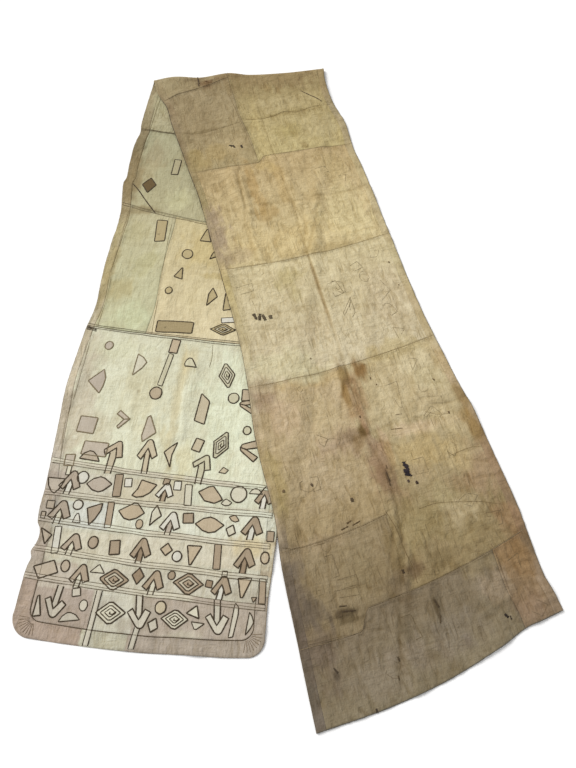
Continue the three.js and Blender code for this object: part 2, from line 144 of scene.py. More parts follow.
# Creases pressed into the cloth: a valley where the height is below nothing, a ridge where it is above
# How much painted shade darkens the cloth's colour in the valley of each crease
PAINTED_CREASE_SHADE = 0.10
CREASES = table(
    "width height places",
    # front arm, lengthwise
    (11, -1.7, ((540, 31), (777, 33), (1009, 25), (1315, 27), (1502, 22), (1613, 14), (1742, 9))),
    (13, -2.0, ((1742, 9), (1853, 27), (1979, 30), (2093, 14), (2232, -50), (2414, -110))),
    (10, 1.3, ((1853, 44), (1979, 47), (2093, 30), (2232, -34), (2330, -66))),
    (9, -1.4, ((1961, 8), (2072, -10), (2222, -66))),
    (9, 1.1, ((1965, -6), (2078, -28), (2200, -74))),
    (10, -1.3, ((2130, 30), (2215, 27), (2300, 12), (2350, -15))),
    (9, -1.5, ((777, 33), (900, 60), (811, 123))),
    (10, -1.5, ((811, 123), (900, 84), (1011, 30))),
    (10, -1.4, ((581, -140), (783, -145), (904, -161), (1035, -153))),
    (9, 1.2, ((600, -124), (783, -130), (904, -146), (1020, -140))),
    (8, -1.2, ((815, -176), (927, -178), (1020, -166))),
    (9, -1.2, ((1605, -99), (1650, -118), (1693, -140))),
    (9, -1.1, ((1531, 6), (1589, -8), (1647, -33))),
    (9, -0.9, ((1585, -136), (1714, -178))),
    (9, -1.0, ((1121, 214), (1230, 197), (1348, 154), (1366, 142))),
    (9, -0.8, ((1090, 130), (1180, 110), (1300, 120))),
    (9, -0.8, ((560, 150), (700, 165), (840, 150))),
    (9, -0.8, ((600, -40), (760, -60), (880, -70))),
    (10, -0.9, ((130, 20), (200, 30), (360, 26), (498, 28))),
    (9, -0.8, ((1550, 150), (1680, 170), (1800, 150))),
    (9, -0.8, ((1950, 120), (2060, 110), (2150, 90))),
    (9, -0.8, ((1960, -150), (2060, -180), (2160, -190))),
    (9, -0.9, ((2235, -128), (2324, -152))),
    (9, -0.9, ((2238, -98), (2294, -125))),
    (9, -1.0, ((2352, -90), (2429, -112))),
    (10, -1.4, ((2389, -308), (2432, -338))),
    (9, 0.9, ((2380, -290), (2425, -318))),
    # front arm, as the photograph shows them most clearly
    (9, -2.2, ((2047, 16), (2080, 12), (2105, -5), (2150, -21), (2211, -54), (2230, -63), (2285, -68))),
    (8, -1.7, ((2043, -1), (2099, -26), (2143, -50), (2197, -69), (2228, -71))),
    (8, -1.5, ((2113, 28), (2163, 27), (2214, 37))),
    (8, -1.5, ((2216, -135), (2248, -151), (2285, -165))),
    (8, -1.6, ((2235, -102), (2290, -126))),
    (8, -1.6, ((2312, -78), (2357, -94), (2398, -117))),
    (8, -1.2, ((2335, -124), (2374, -138))),
    (8, -1.6, ((2031, -212), (2075, -205), (2122, -213), (2170, -215), (2223, -209), (2275, -214))),
    (8, -1.3, ((2076, -159), (2139, -189))),
    (7, -1.2, ((2155, -211), (2164, -143))),
    (7, -1.3, ((2172, -205), (2168, -141))),
    (8, -1.5, ((1703, 355), (1709, 316), (1712, 272), (1721, 219))),
    (7, -1.3, ((1721, 219), (1741, 261))),
    (8, -1.6, ((1867, 357), (1867, 315), (1885, 273), (1883, 198))),
    (8, -1.2, ((1905, 149), (1868, 167), (1833, 197))),
    (22, 1.6, ((1704, 182), (1622, 223), (1538, 243))),
    (16, 1.4, ((1742, 126), (1713, 215))),
    (10, -2.0, ((560, -130), (620, -140), (755, -146), (841, -166), (919, -168), (1016, -161))),
    (12, 1.8, ((600, -118), (755, -126), (841, -146), (919, -148), (1000, -142))),
    (8, -1.3, ((723, -186), (795, -186), (817, -180))),
    (10, -1.7, ((776, 142), (840, 116), (907, 89), (1018, 32))),
    (10, -1.5, ((780, 74), (897, 50), (1016, 21))),
    (10, -1.5, ((753, 89), (767, 144))),
    (9, -1.2, ((767, 144), (770, 210), (767, 269), (754, 346))),
    (9, -1.4, ((1016, -161), (1038, -93), (1052, -22), (1029, -1), (1020, 24))),
    (9, -1.9, ((1020, 26), (1119, 26), (1177, 24))),
    (9, -1.3, ((1177, 24), (1267, 23), (1386, 22), (1479, 15))),
    (9, -1.0, ((1228, -47), (1347, -55), (1477, -66))),
    (10, -1.3, ((1234, 177), (1303, 163), (1374, 127))),
    (9, -1.0, ((1213, 223), (1338, 182))),
    (10, -1.8, ((1559, 6), (1645, -36), (1680, -42))),
    (10, -1.5, ((1540, -90), (1575, -102), (1700, -145))),
    (9, -1.2, ((1600, -66), (1660, -80), (1740, -88))),
    (9, -1.0, ((1296, -250), (1315, -160), (1334, -68))),
    (7, 1.3, ((1497, -268), (1597, -287), (1760, -294))),
    (9, -1.2, ((1596, 148), (1658, 151), (1702, 120))),
    (9, 1.2, ((1585, 160), (1650, 166), (1705, 136))),
    # front arm, crosswise
    (10, -1.5, ((281, -36), (291, 30), (280, 133), (286, 183), (272, 253), (273, 332))),
    (10, -1.1, ((298, -331), (315, -217), (302, -122), (290, -70))),
    (10, -0.9, ((770, -290), (760, -100), (775, 60), (760, 200), (770, 335))),
    (10, -0.9, ((1240, -270), (1255, -120), (1245, 60), (1262, 200), (1250, 325))),
    (9, -0.7, ((1355, -280), (1385, -99), (1387, 145), (1392, 294))),
    (10, -1.2, ((1764, -305), (1782, -237), (1772, -109), (1744, 57))),
    (10, -1.1, ((1744, 57), (1715, 190), (1706, 272), (1717, 345))),
    (9, -1.2, ((1877, 250), (1873, 360))),
    (9, -1.0, ((2007, 90), (2006, 158), (2031, 266), (2054, 330))),
    (9, -1.0, ((1879, 202), (1909, 267), (1900, 300))),
    (9, -1.0, ((1997, 200), (2020, 235), (2041, 262))),
    (9, -0.9, ((2080, 180), (2060, 230), (2085, 290), (2075, 350))),
    (9, -1.0, ((2256, 250), (2275, 300), (2290, 350))),
    (9, -0.9, ((2310, 255), (2315, 323))),
    (9, -0.8, ((2330, -340), (2340, -240), (2325, -160))),
    (9, -0.8, ((2120, -330), (2105, -250), (2125, -190))),
    (9, -0.7, ((2280, 100), (2262, 160), (2290, 215))),
    # front arm, star-shaped creases of the right side
    (8, -0.9, ((1540, 200), (1580, 240), (1570, 290))),
    (8, -0.9, ((1580, 240), (1630, 262), (1640, 310))),
    (8, -0.8, ((1092, 231), (1124, 247), (1130, 290))),
    (8, -0.8, ((1830, 240), (1859, 252), (1850, 290))),
    (8, -0.8, ((1960, 250), (1990, 290), (1975, 330))),
    (8, -0.8, ((2100, 240), (2130, 300), (2110, 345))),
    # rear arm
    (12, -1.4, ((-1375, -52), (-1450, -40), (-1574, -42), (-1741, -23))),
    (10, 1.0, ((-1390, -30), (-1574, -22), (-1700, -8))),
    (10, -0.9, ((-903, -390), (-908, -300), (-911, -207))),
    (10, -0.8, ((-1043, -386), (-1050, -300), (-1059, -201))),
    (10, -0.8, ((-1050, -160), (-1062, -60), (-1055, 60))),
    (10, -0.7, ((-1585, -380), (-1590, -250), (-1580, -100), (-1590, 120))),
    (9, -0.9, ((-560, -330), (-566, -260), (-555, -160))),
    (9, -0.7, ((-1180, -290), (-1100, -300), (-1000, -290))),
    (9, -0.8, ((-1650, -180), (-1560, -170), (-1480, -175))),
    (9, -0.7, ((-1240, 20), (-1130, 10), (-1020, 14))),
)

# Small creases of handling, strewn over the cloth: where, how many, how high at most, and what share of
# them run along the strip
CREASE_SEED = 71
CREASE_STRAYS = 0.28
CREASE_TURNS = (0.9, 1.6)
CREASE_BENDS = 0.3
CREASE_STEPS = (18, 42)
CREASE_WIDTHS = (6.5, 10)
CREASE_LOWEST = 0.4
VALLEY_SHARE = 0.75
SMALL_CREASES = table(
    "from_along to_along from_across to_across count height lengthwise",
    (90, 1040, -330, 335, 56, 0.8, 0.55), (1040, 1520, -330, 335, 36, 0.9, 0.5),
    (1480, 2020, -330, 335, 64, 1.2, 0.7), (1980, 2440, -330, 335, 80, 1.5, 0.8),
    (-2260, -1800, -330, 335, 34, 0.7, 0.5), (-1800, -1340, -330, 335, 26, 0.8, 0.6),
    (-1330, -800, -330, 335, 20, 0.7, 0.6), (-780, -280, -330, 335, 14, 0.7, 0.6),
    (1900, 2350, 190, 345, 56, 1.7, 0.35),
)


def strewn_creases():
    """Short meandering creases, mostly along the strip, for each stretch of the table."""
    rng = np.random.default_rng(CREASE_SEED)
    creases = []
    for stretch in SMALL_CREASES:
        for _ in range(stretch["count"]):
            start = np.array([rng.uniform(stretch["from_along"], stretch["to_along"]),
                              rng.uniform(stretch["from_across"], stretch["to_across"])])
            turn = rng.normal(0, CREASE_STRAYS)
            if rng.uniform() > stretch["lengthwise"]:
                turn += rng.choice((-1, 1)) * rng.uniform(*CREASE_TURNS)
            places = [start]
            for _ in range(rng.integers(2, 5)):
                turn += rng.normal(0, CREASE_BENDS)
                step = rng.uniform(*CREASE_STEPS)
                places.append(places[-1] + step * np.array([math.cos(turn), math.sin(turn)]))
            height = -stretch["height"] * rng.uniform(CREASE_LOWEST, 1.0)
            if rng.uniform() >= VALLEY_SHARE:
                height = -height
            creases.append({"width": rng.uniform(*CREASE_WIDTHS), "height": height, "places": places})
    return creases


# Colours of the photograph, as it shows them
INK = "463a29"
PALE_INK = "85775c"
WORN_INK = "7d6c4e"
EDGE_GREY = "777061"
TONES = {
    "umber": "655230",
    "brown": "a99880",
    "darkbrown": "97846c",
    "tan": "bdad92",
    "greytan": "b9ad9c",
    "faint": "c3b8a5",
    "straw": "b8a87e",
    "sand": "aca381",
    "ochre": "a4946f",
    "wheat": "c8bca0",
    "cream": "cac5a8",
    "pale": "d3ceb8",
    "bone": "c9c3b1",
    "white": "d6d3c5",
}
PALE_TONES = ("pale", "white")

# The panels: node, the lines that each runs between, its first and last column, and its tints at the
# first and the last line. A rear panel has the worked face up, and the others the reverse.
PANELS = table(
    "node lines columns tints",
    ("rear_end_panel", ("binding", "rearField"), (0, 22), ("c8c4b0", "cdcab4")),
    ("rear_field_panel", ("rearField", "rearMiddle"), (0, 22), ("dcdcc2", "d4d2b7")),
    ("rear_side_panel", ("rearMiddle", "rearTop"), (0, 6), ("c6c5a1", "bdb591")),
    ("rear_middle_panel", ("rearMiddle", "rearTop"), (6, 22), ("d8cba6", "c9bb90")),
    ("rear_top_panel", ("rearTop", "rearHidden"), (0, 22), ("b3ac88", "aca887")),
    ("rear_hidden_panel", ("rearHidden", "foldBack"), (9, 22), ("b0a987", "a69a74")),
    ("fold_panel", ("rearHidden", "rollBack", "rollFront", "foldFront"), (0, 9), ("b0a987", "9f8d68")),
    ("front_grey_panel", ("foldFront", "frontYellow"), (0, 9), ("9b8a68", "ac9b72")),
    ("front_yellow_panel", ("foldBack", "rollBack", "rollFront", "foldFront", "frontYellow"),
     (9, 22), ("97845c", "beae7c")),
    ("front_tan_panel", ("frontYellow", "frontTan"), (0, 22), ("bba579", "d0bf92")),
    ("front_pale_panel", ("frontTan", "frontPale"), (0, 22), ("cfc199", "cdc0a0")),
    ("front_brown_panel_left", ("frontPale", "frontBrown"), (0, 10), ("c2af8b", "aa9773")),
    ("front_brown_panel_right", ("frontPale", "frontBrown", "frontLower"),
     (10, 22), ("c6b68f", "8d7b58")),
    ("front_lower_panel", ("frontBrown", "frontLower"), (0, 10), ("978667", "857559")),
    ("front_end_panel", ("frontLower", "frontEnd"), (0, 19), ("7d6f59", "83775f")),
    ("front_end_patch", ("frontLower", "frontEnd"), (19, 22), ("8f7655", "8c7860")),
)
REAR_LINES = ("legTop", "rearField", "rearMiddle", "rearTop", "rearHidden")
FRONT_LINES = ("rollBack", "rollFront", "foldFront", "frontYellow", "frontTan", "frontPale", "frontBrown",
               "frontLower", "frontEnd")
SIDE_BORDERS = table(
    "node piece lines edge side",
    ("border_rear_left", "rear_left_border", REAR_LINES + ("rollBack",), "left", -1),
    ("border_rear_right", "rear_right_border", REAR_LINES + ("foldBack", "rollBack"), "right", -1),
    ("border_front_left", "front_left_border", FRONT_LINES, "left", 1),
    ("border_front_right", "front_right_border", FRONT_LINES, "right", 1),
)
BORDER_TINTS = table(
    "along left right",
    (-2300, "a4968a", "aa9d8a"), (-2000, "bab0a2", "bdb196"), (-1850, "c8bfb0", "c8c0a4"),
    (-1600, "d6cab2", "cfc9a8"), (-1300, "cbc0a4", "cfc5a0"), (-1150, "cdc09a", "c5ba90"),
    (-900, "bdb08a", "b9ae86"), (-700, "9f8e6b", "b3a67e"), (-400, "8a7c5b", "a99c76"),
    (-200, "ac9f7d", "a3946c"), (0, "9f8e6a", "9a8860"), (150, "9f8c6a", "a18d64"),
    (300, "a99a77", "a89976"), (500, "a1916a", "b6a680"), (700, "ab9b70", "bead82"),
    (900, "c0ad87", "c6b68e"), (1020, "c4b184", "c0b088"), (1100, "c8b782", "c1b48c"),
    (1300, "d2c39a", "b7a57c"), (1480, "cfc4a3", "bfaf8a"), (1560, "bbab8b", "c3ae89"),
    (1700, "bfab88", "b19d7c"), (1900, "b3a184", "92795b"), (2060, "978870", "8c775c"),
    (2160, "5f5141", "7a664c"), (2300, "6e6454", "9a866e"), (2460, "73685a", "7c6b56"),
)
BINDING_WIDTH = 40
BINDING_INNER_RADIUS = 30
BINDING_LEFT_RADIUS = 52
BINDING_RIGHT_RADIUS = 42
LEG_SHARE = 0.2
LEG_STEPS = 12


# The cloth's shape

def smoothstep(value, low, high):
    share = np.clip((value - low) / (high - low), 0, 1)
    return share * share * (3 - 2 * share)


def lerp(start, stop, share):
    return start + (stop - start) * share


def read(rows, key, column, at):
    """A smooth curve through one column of a table, by the key column's value."""
    keys = np.array([row[key] for row in rows], float)
    values = np.array([row[column] for row in rows], float)
    high = np.clip(np.searchsorted(keys, at), 1, len(keys) - 1)
    low = high - 1
    before = np.maximum(high - 2, 0)
    after = np.minimum(high + 1, len(keys) - 1)
    span = keys[high] - keys[low]
    share = np.clip((at - keys[low]) / span, 0, 1)
    start_slope = (values[high] - values[before]) / (keys[high] - keys[before]) * span
    end_slope = (values[after] - values[low]) / (keys[after] - keys[low]) * span
    square = share * share
    cube = square * share
    return ((2 * cube - 3 * square + 1) * values[low] + (cube - 2 * square + share) * start_slope
            + (3 * square - 2 * cube) * values[high] + (cube - square) * end_slope)


def left_edge(along):
    return read(EDGES, "along", "left", along)


def right_edge(along):
    return read(EDGES, "along", "right", along)


def field_left(along):
    return left_edge(along) + read(BORDERS, "along", "left", along)


def field_right(along):
    return right_edge(along) - read(BORDERS, "along", "right", along)


def across_at(along, share):
    """The place across for a share of the field's width. Shares outside 0 to 1 are on the borders."""
    left, right = field_left(along), field_right(along)
    inside = lerp(left, right, np.clip(share, 0, 1))
    past_left = (left_edge(along) - left) * np.maximum(-share, 0) / BORDER_SHARE
    past_right = (right_edge(along) - right) * np.maximum(share - 1, 0) / BORDER_SHARE
    return inside + past_left + past_right


def seam_at(seam, share):
    left, middle, right = SEAMS[seam]
    step_column, step = SEAM_STEPS.get(seam, (0, 0))
    curve = (left * (1 - share) * (1 - 2 * share) + middle * 4 * share * (1 - share)
             + right * share * (2 * share - 1))
    return curve + step * (1 - np.clip(share * COLUMNS - step_column, 0, 1))


def fold_line_at(distance, share):
    along = np.zeros_like(share)
    for _ in range(FOLD_LINE_PASSES):
        along = (distance + across_at(along, share) * math.sin(FOLD_SKEW)) / math.cos(FOLD_SKEW)
    return along


def binding_line_at(share):
    """The edge of the field where the binding starts, with a rounded corner at each side."""
    end = seam_at("rearEnd", share)
    left, right = field_left(end), field_right(end)
    across = lerp(left, right, np.clip(share, 0, 1))
    radius = BINDING_INNER_RADIUS
    past = np.maximum(radius - np.minimum(across - left, right - across), 0)
    return end + BINDING_WIDTH + radius - np.sqrt(np.maximum(radius * radius - past * past, 0))


def line_at(line, share):
    if line == "rollBack":
        return fold_line_at(-FOLD_ZONE, share)
    if line == "rollFront":
        return fold_line_at(FOLD_ZONE, share)
    if line == "binding":
        return binding_line_at(share)
    if line == "frontEnd":
        return read(HEM, "share", "along", share)
    if line == "legTop":
        return lerp(binding_line_at(share), seam_at("rearField", share), LEG_SHARE)
    return seam_at(line, share)


def binding_shares():
    end = float(SEAMS["rearEnd"][1])
    field_width = float(field_right(end) - field_left(end))
    angle = np.linspace(0, math.pi / 2, BINDING_OUTER_STEPS + 1)
    corner = BINDING_INNER_RADIUS * (1 - np.cos(angle)) / field_width
    middle = np.linspace(corner[-1], 1 - corner[-1], round(field_width / REAR_PITCH))[1:-1]
    return np.r_[corner, middle, 1 - corner[::-1]]


def leg_places(share, foot):
    return np.linspace(float(line_at("legTop", np.array(share))), foot, LEG_STEPS, endpoint=False)


def binding_inner_line():
    """The inner edge of the binding: down one leg, along the end of the field and up the other leg."""
    shares = binding_shares()
    end = binding_line_at(shares)
    left = leg_places(0.0, end[0])
    right = leg_places(1.0, end[-1])[::-1]
    return np.r_[np.c_[left, field_left(left)], np.c_[end, across_at(end, shares)],
                 np.c_[right, field_right(right)]]


def binding_outer_line():
    """The outer edge of the binding, place for place with its inner edge."""
    shares = binding_shares()
    middle = float(SEAMS["rearEnd"][1])
    left, right = float(left_edge(middle)), float(right_edge(middle))
    steps, last = BINDING_OUTER_STEPS, len(shares) - 1
    index = np.arange(len(shares))
    from_left = np.minimum(index / steps, 1) * math.pi / 2
    from_right = np.minimum((last - index) / steps, 1) * math.pi / 2
    run = (shares - shares[steps]) / (1 - 2 * shares[steps])
    across = lerp(left + BINDING_LEFT_RADIUS, right - BINDING_RIGHT_RADIUS, run)
    across = np.where(index <= steps, left + BINDING_LEFT_RADIUS * (1 - np.cos(from_left)), across)
    turned = right - BINDING_RIGHT_RADIUS * (1 - np.cos(from_right))
    across = np.where(index >= last - steps, turned, across)
    above = np.where(index <= steps, BINDING_LEFT_RADIUS * (1 - np.sin(from_left)), 0)
    above = np.where(index >= last - steps, BINDING_RIGHT_RADIUS * (1 - np.sin(from_right)), above)
    along = seam_at("rearEnd", np.clip((across - left) / (right - left), 0, 1)) + above
    left_leg = leg_places(0.0, float(seam_at("rearEnd", np.array(0.0))) + BINDING_LEFT_RADIUS)
    right_leg = leg_places(1.0, float(seam_at("rearEnd", np.array(1.0))) + BINDING_RIGHT_RADIUS)[::-1]
    return np.r_[np.c_[left_leg, left_edge(left_leg)], np.c_[along, across],
                 np.c_[right_leg, right_edge(right_leg)]]


LATTICE = 64
LATTICE_OFFSET = 1000


def noise(along, across, size, seed):
    """Soft lumps from -1 to 1. The size is a lump's length along and across, in millimetres."""
    lattice = np.random.default_rng(seed).uniform(-1, 1, (LATTICE, LATTICE))
    down, over = along / size[0] + LATTICE_OFFSET, across / size[1] + LATTICE_OFFSET
    row, column = np.floor(down).astype(int), np.floor(over).astype(int)
    down, over = smoothstep(down - row, 0, 1), smoothstep(over - column, 0, 1)

    def corner(rows_on, columns_on):
        return lattice[(row + rows_on) % LATTICE, (column + columns_on) % LATTICE]

    return lerp(lerp(corner(0, 0), corner(0, 1), over), lerp(corner(1, 0), corner(1, 1), over), down)


def lumps(along, across, *layers):
    """Soft lumps of several sizes added up: each layer has a share, a size and a seed."""
    return sum(share * noise(along, across, size, seed) for share, size, seed in layers)


def ridge(along, across, places, width):
    """1 on a line through places, falling softly to 0 at that width from it."""
    nearest = np.full_like(along, 1e9)
    for (a0, c0), (a1, c1) in zip(places[:-1], places[1:]):
        run, rise = a1 - a0, c1 - c0
        share = np.clip(((along - a0) * run + (across - c0) * rise) / (run * run + rise * rise), 0, 1)
        nearest = np.minimum(nearest, np.hypot(along - a0 - share * run, across - c0 - share * rise))
    return 0.5 * (1 + np.cos(math.pi * np.minimum(nearest / width, 1)))


# Folds and creases are worked out once on a fine grid over the whole cloth, and looked up from there
GRID = 4.0
GRID_ALONG = np.arange(-2420, 2580, GRID)
GRID_ACROSS = np.arange(-460, 480, GRID)


def laid_out(lines):
    """A grid over the cloth with the ridges of lines added up: each has places, a width and a height."""
    grid = np.zeros((len(GRID_ALONG), len(GRID_ACROSS)))
    for places, width, height in lines:
        places = np.array(places, float)
        low, high = places.min(0) - width, places.max(0) + width
        rows = slice(*np.searchsorted(GRID_ALONG, (low[0], high[0])))
        columns = slice(*np.searchsorted(GRID_ACROSS, (low[1], high[1])))
        along, across = np.meshgrid(GRID_ALONG[rows], GRID_ACROSS[columns], indexing="ij")
        grid[rows, columns] += height * ridge(along, across, places, width)
    return grid


def looked_up(grid, along, across):
    u = np.clip((along - GRID_ALONG[0]) / GRID, 0, len(GRID_ALONG) - 1.001)
    v = np.clip((across - GRID_ACROSS[0]) / GRID, 0, len(GRID_ACROSS) - 1.001)
    row, column = np.floor(u).astype(int), np.floor(v).astype(int)
    s, t = u - row, v - column
    return lerp(lerp(grid[row, column], grid[row, column + 1], t),
                lerp(grid[row + 1, column], grid[row + 1, column + 1], t), s)


ALL_CREASES = CREASES + strewn_creases()
FOLD_LINES = [
    (((fold["from_along"], fold["from_across"]), (fold["to_along"], fold["to_across"])),
     fold["width"], fold["height"])
    for fold in FOLDS
]
STANDING = laid_out(FOLD_LINES + [(row["places"], row["width"], row["height"]) for row in ALL_CREASES])
# Painted shade: a grid of how much the valleys of the creases darken the cloth's colour
PAINTED_CREASE_SHADE_REACH = 0.75
PAINTED_CREASE_SHADE_GRID = laid_out([
    (row["places"], row["width"] * PAINTED_CREASE_SHADE_REACH, row["height"] * PAINTED_CREASE_SHADE)
    for row in ALL_CREASES if row["height"] < 0
])
EDGE_RIPPLE_REACH = 46
EDGE_RIPPLE_HEIGHT = 2.6
RIPPLE_LAYERS = ((0.5, (26, 90), 5), (0.3, (60, 120), 6))
PUFF = 1.7
PUFF_LAYERS = ((0.55, (95, 60), 3), (0.4, (40, 22), 4), (0.16, (17, 13), 7))
LEAST_RELIEF = 0.15


def relief(along, across):
    """How far the cloth stands off what it lies on: its folds, puffs, creases and rippled edges."""
    height = PUFF * (1 + lumps(along, across, *PUFF_LAYERS))
    height = height + looked_up(STANDING, along, across)
    from_edge = np.minimum(across - left_edge(along), right_edge(along) - across)
    near_edge = 1 - smoothstep(from_edge, 0, EDGE_RIPPLE_REACH)
    ripple = 0.5 + lumps(along, across, *RIPPLE_LAYERS)
    height = height + EDGE_RIPPLE_HEIGHT * near_edge * ripple
    return np.maximum(height, LEAST_RELIEF)


def rest_height(off, side, along, across):
    own = relief(along, across)
    below_along = side * math.sin(FOLD_SKEW) - off * math.cos(FOLD_SKEW)
    below_across = side * math.cos(FOLD_SKEW) + off * math.sin(FOLD_SKEW)
    past_edge = below_across - right_edge(below_along)
    covered = 1 - smoothstep(past_edge, EDGE_DROP_FROM, EDGE_DROP_TO)
    layer = THICKNESS + LAYER_CLEARANCE + relief(below_along, below_across)
    return THICKNESS / 2 + own + np.where(off < 0, 0, covered * layer)


def middle_at(along, across):
    """The middle of the cloth's thickness, laid on the floor, in millimetres of the part's frame."""
    off = along * math.cos(FOLD_SKEW) - across * math.sin(FOLD_SKEW)
    side = across * math.cos(FOLD_SKEW) + along * math.sin(FOLD_SKEW)
    radius = read(ROLL, "at", "radius", side)
    half = radius * math.pi / 2
    distance = np.abs(off)
    in_roll = distance < half
    on_roll = THICKNESS / 2 + np.where(off > 0, 2 * radius, 0)
    settled = smoothstep(distance - half, 0, SETTLE_LENGTH)
    height = lerp(on_roll, rest_height(off, side, along, across), settled)
    out = np.where(in_roll, radius - radius * np.cos(off / radius), radius + distance - half)
    height = np.where(in_roll, THICKNESS / 2 + radius + radius * np.sin(off / radius), height)
    out = out - read(ROLL, "at", "reach", side) * (1 - smoothstep(distance, 0, SETTLE_LENGTH))
    x = FOLD_AT_X + side * math.cos(FOLD_TURN) + out * math.sin(FOLD_TURN)
    y = FOLD_AT_Y + side * math.sin(FOLD_TURN) - out * math.cos(FOLD_TURN)
    return np.stack([x, y, height], axis=-1)


def back_normal(along, across):
    """The way that the back of the cloth faces."""
    along_step = middle_at(along + PROBE, across) - middle_at(along - PROBE, across)
    across_step = middle_at(along, across + PROBE) - middle_at(along, across - PROBE)
    normal = np.cross(along_step, across_step)
    return normal / np.linalg.norm(normal, axis=-1, keepdims=True)


# Colours

def linear(colour):
    """A colour of the photograph, six hex digits, as the linear values that shaders use."""
    shown = np.array([int(colour[i:i + 2], 16) for i in (0, 2, 4)]) / 255
    return np.where(shown <= 0.04045, shown / 12.92, ((shown + 0.055) / 1.055) ** 2.4)
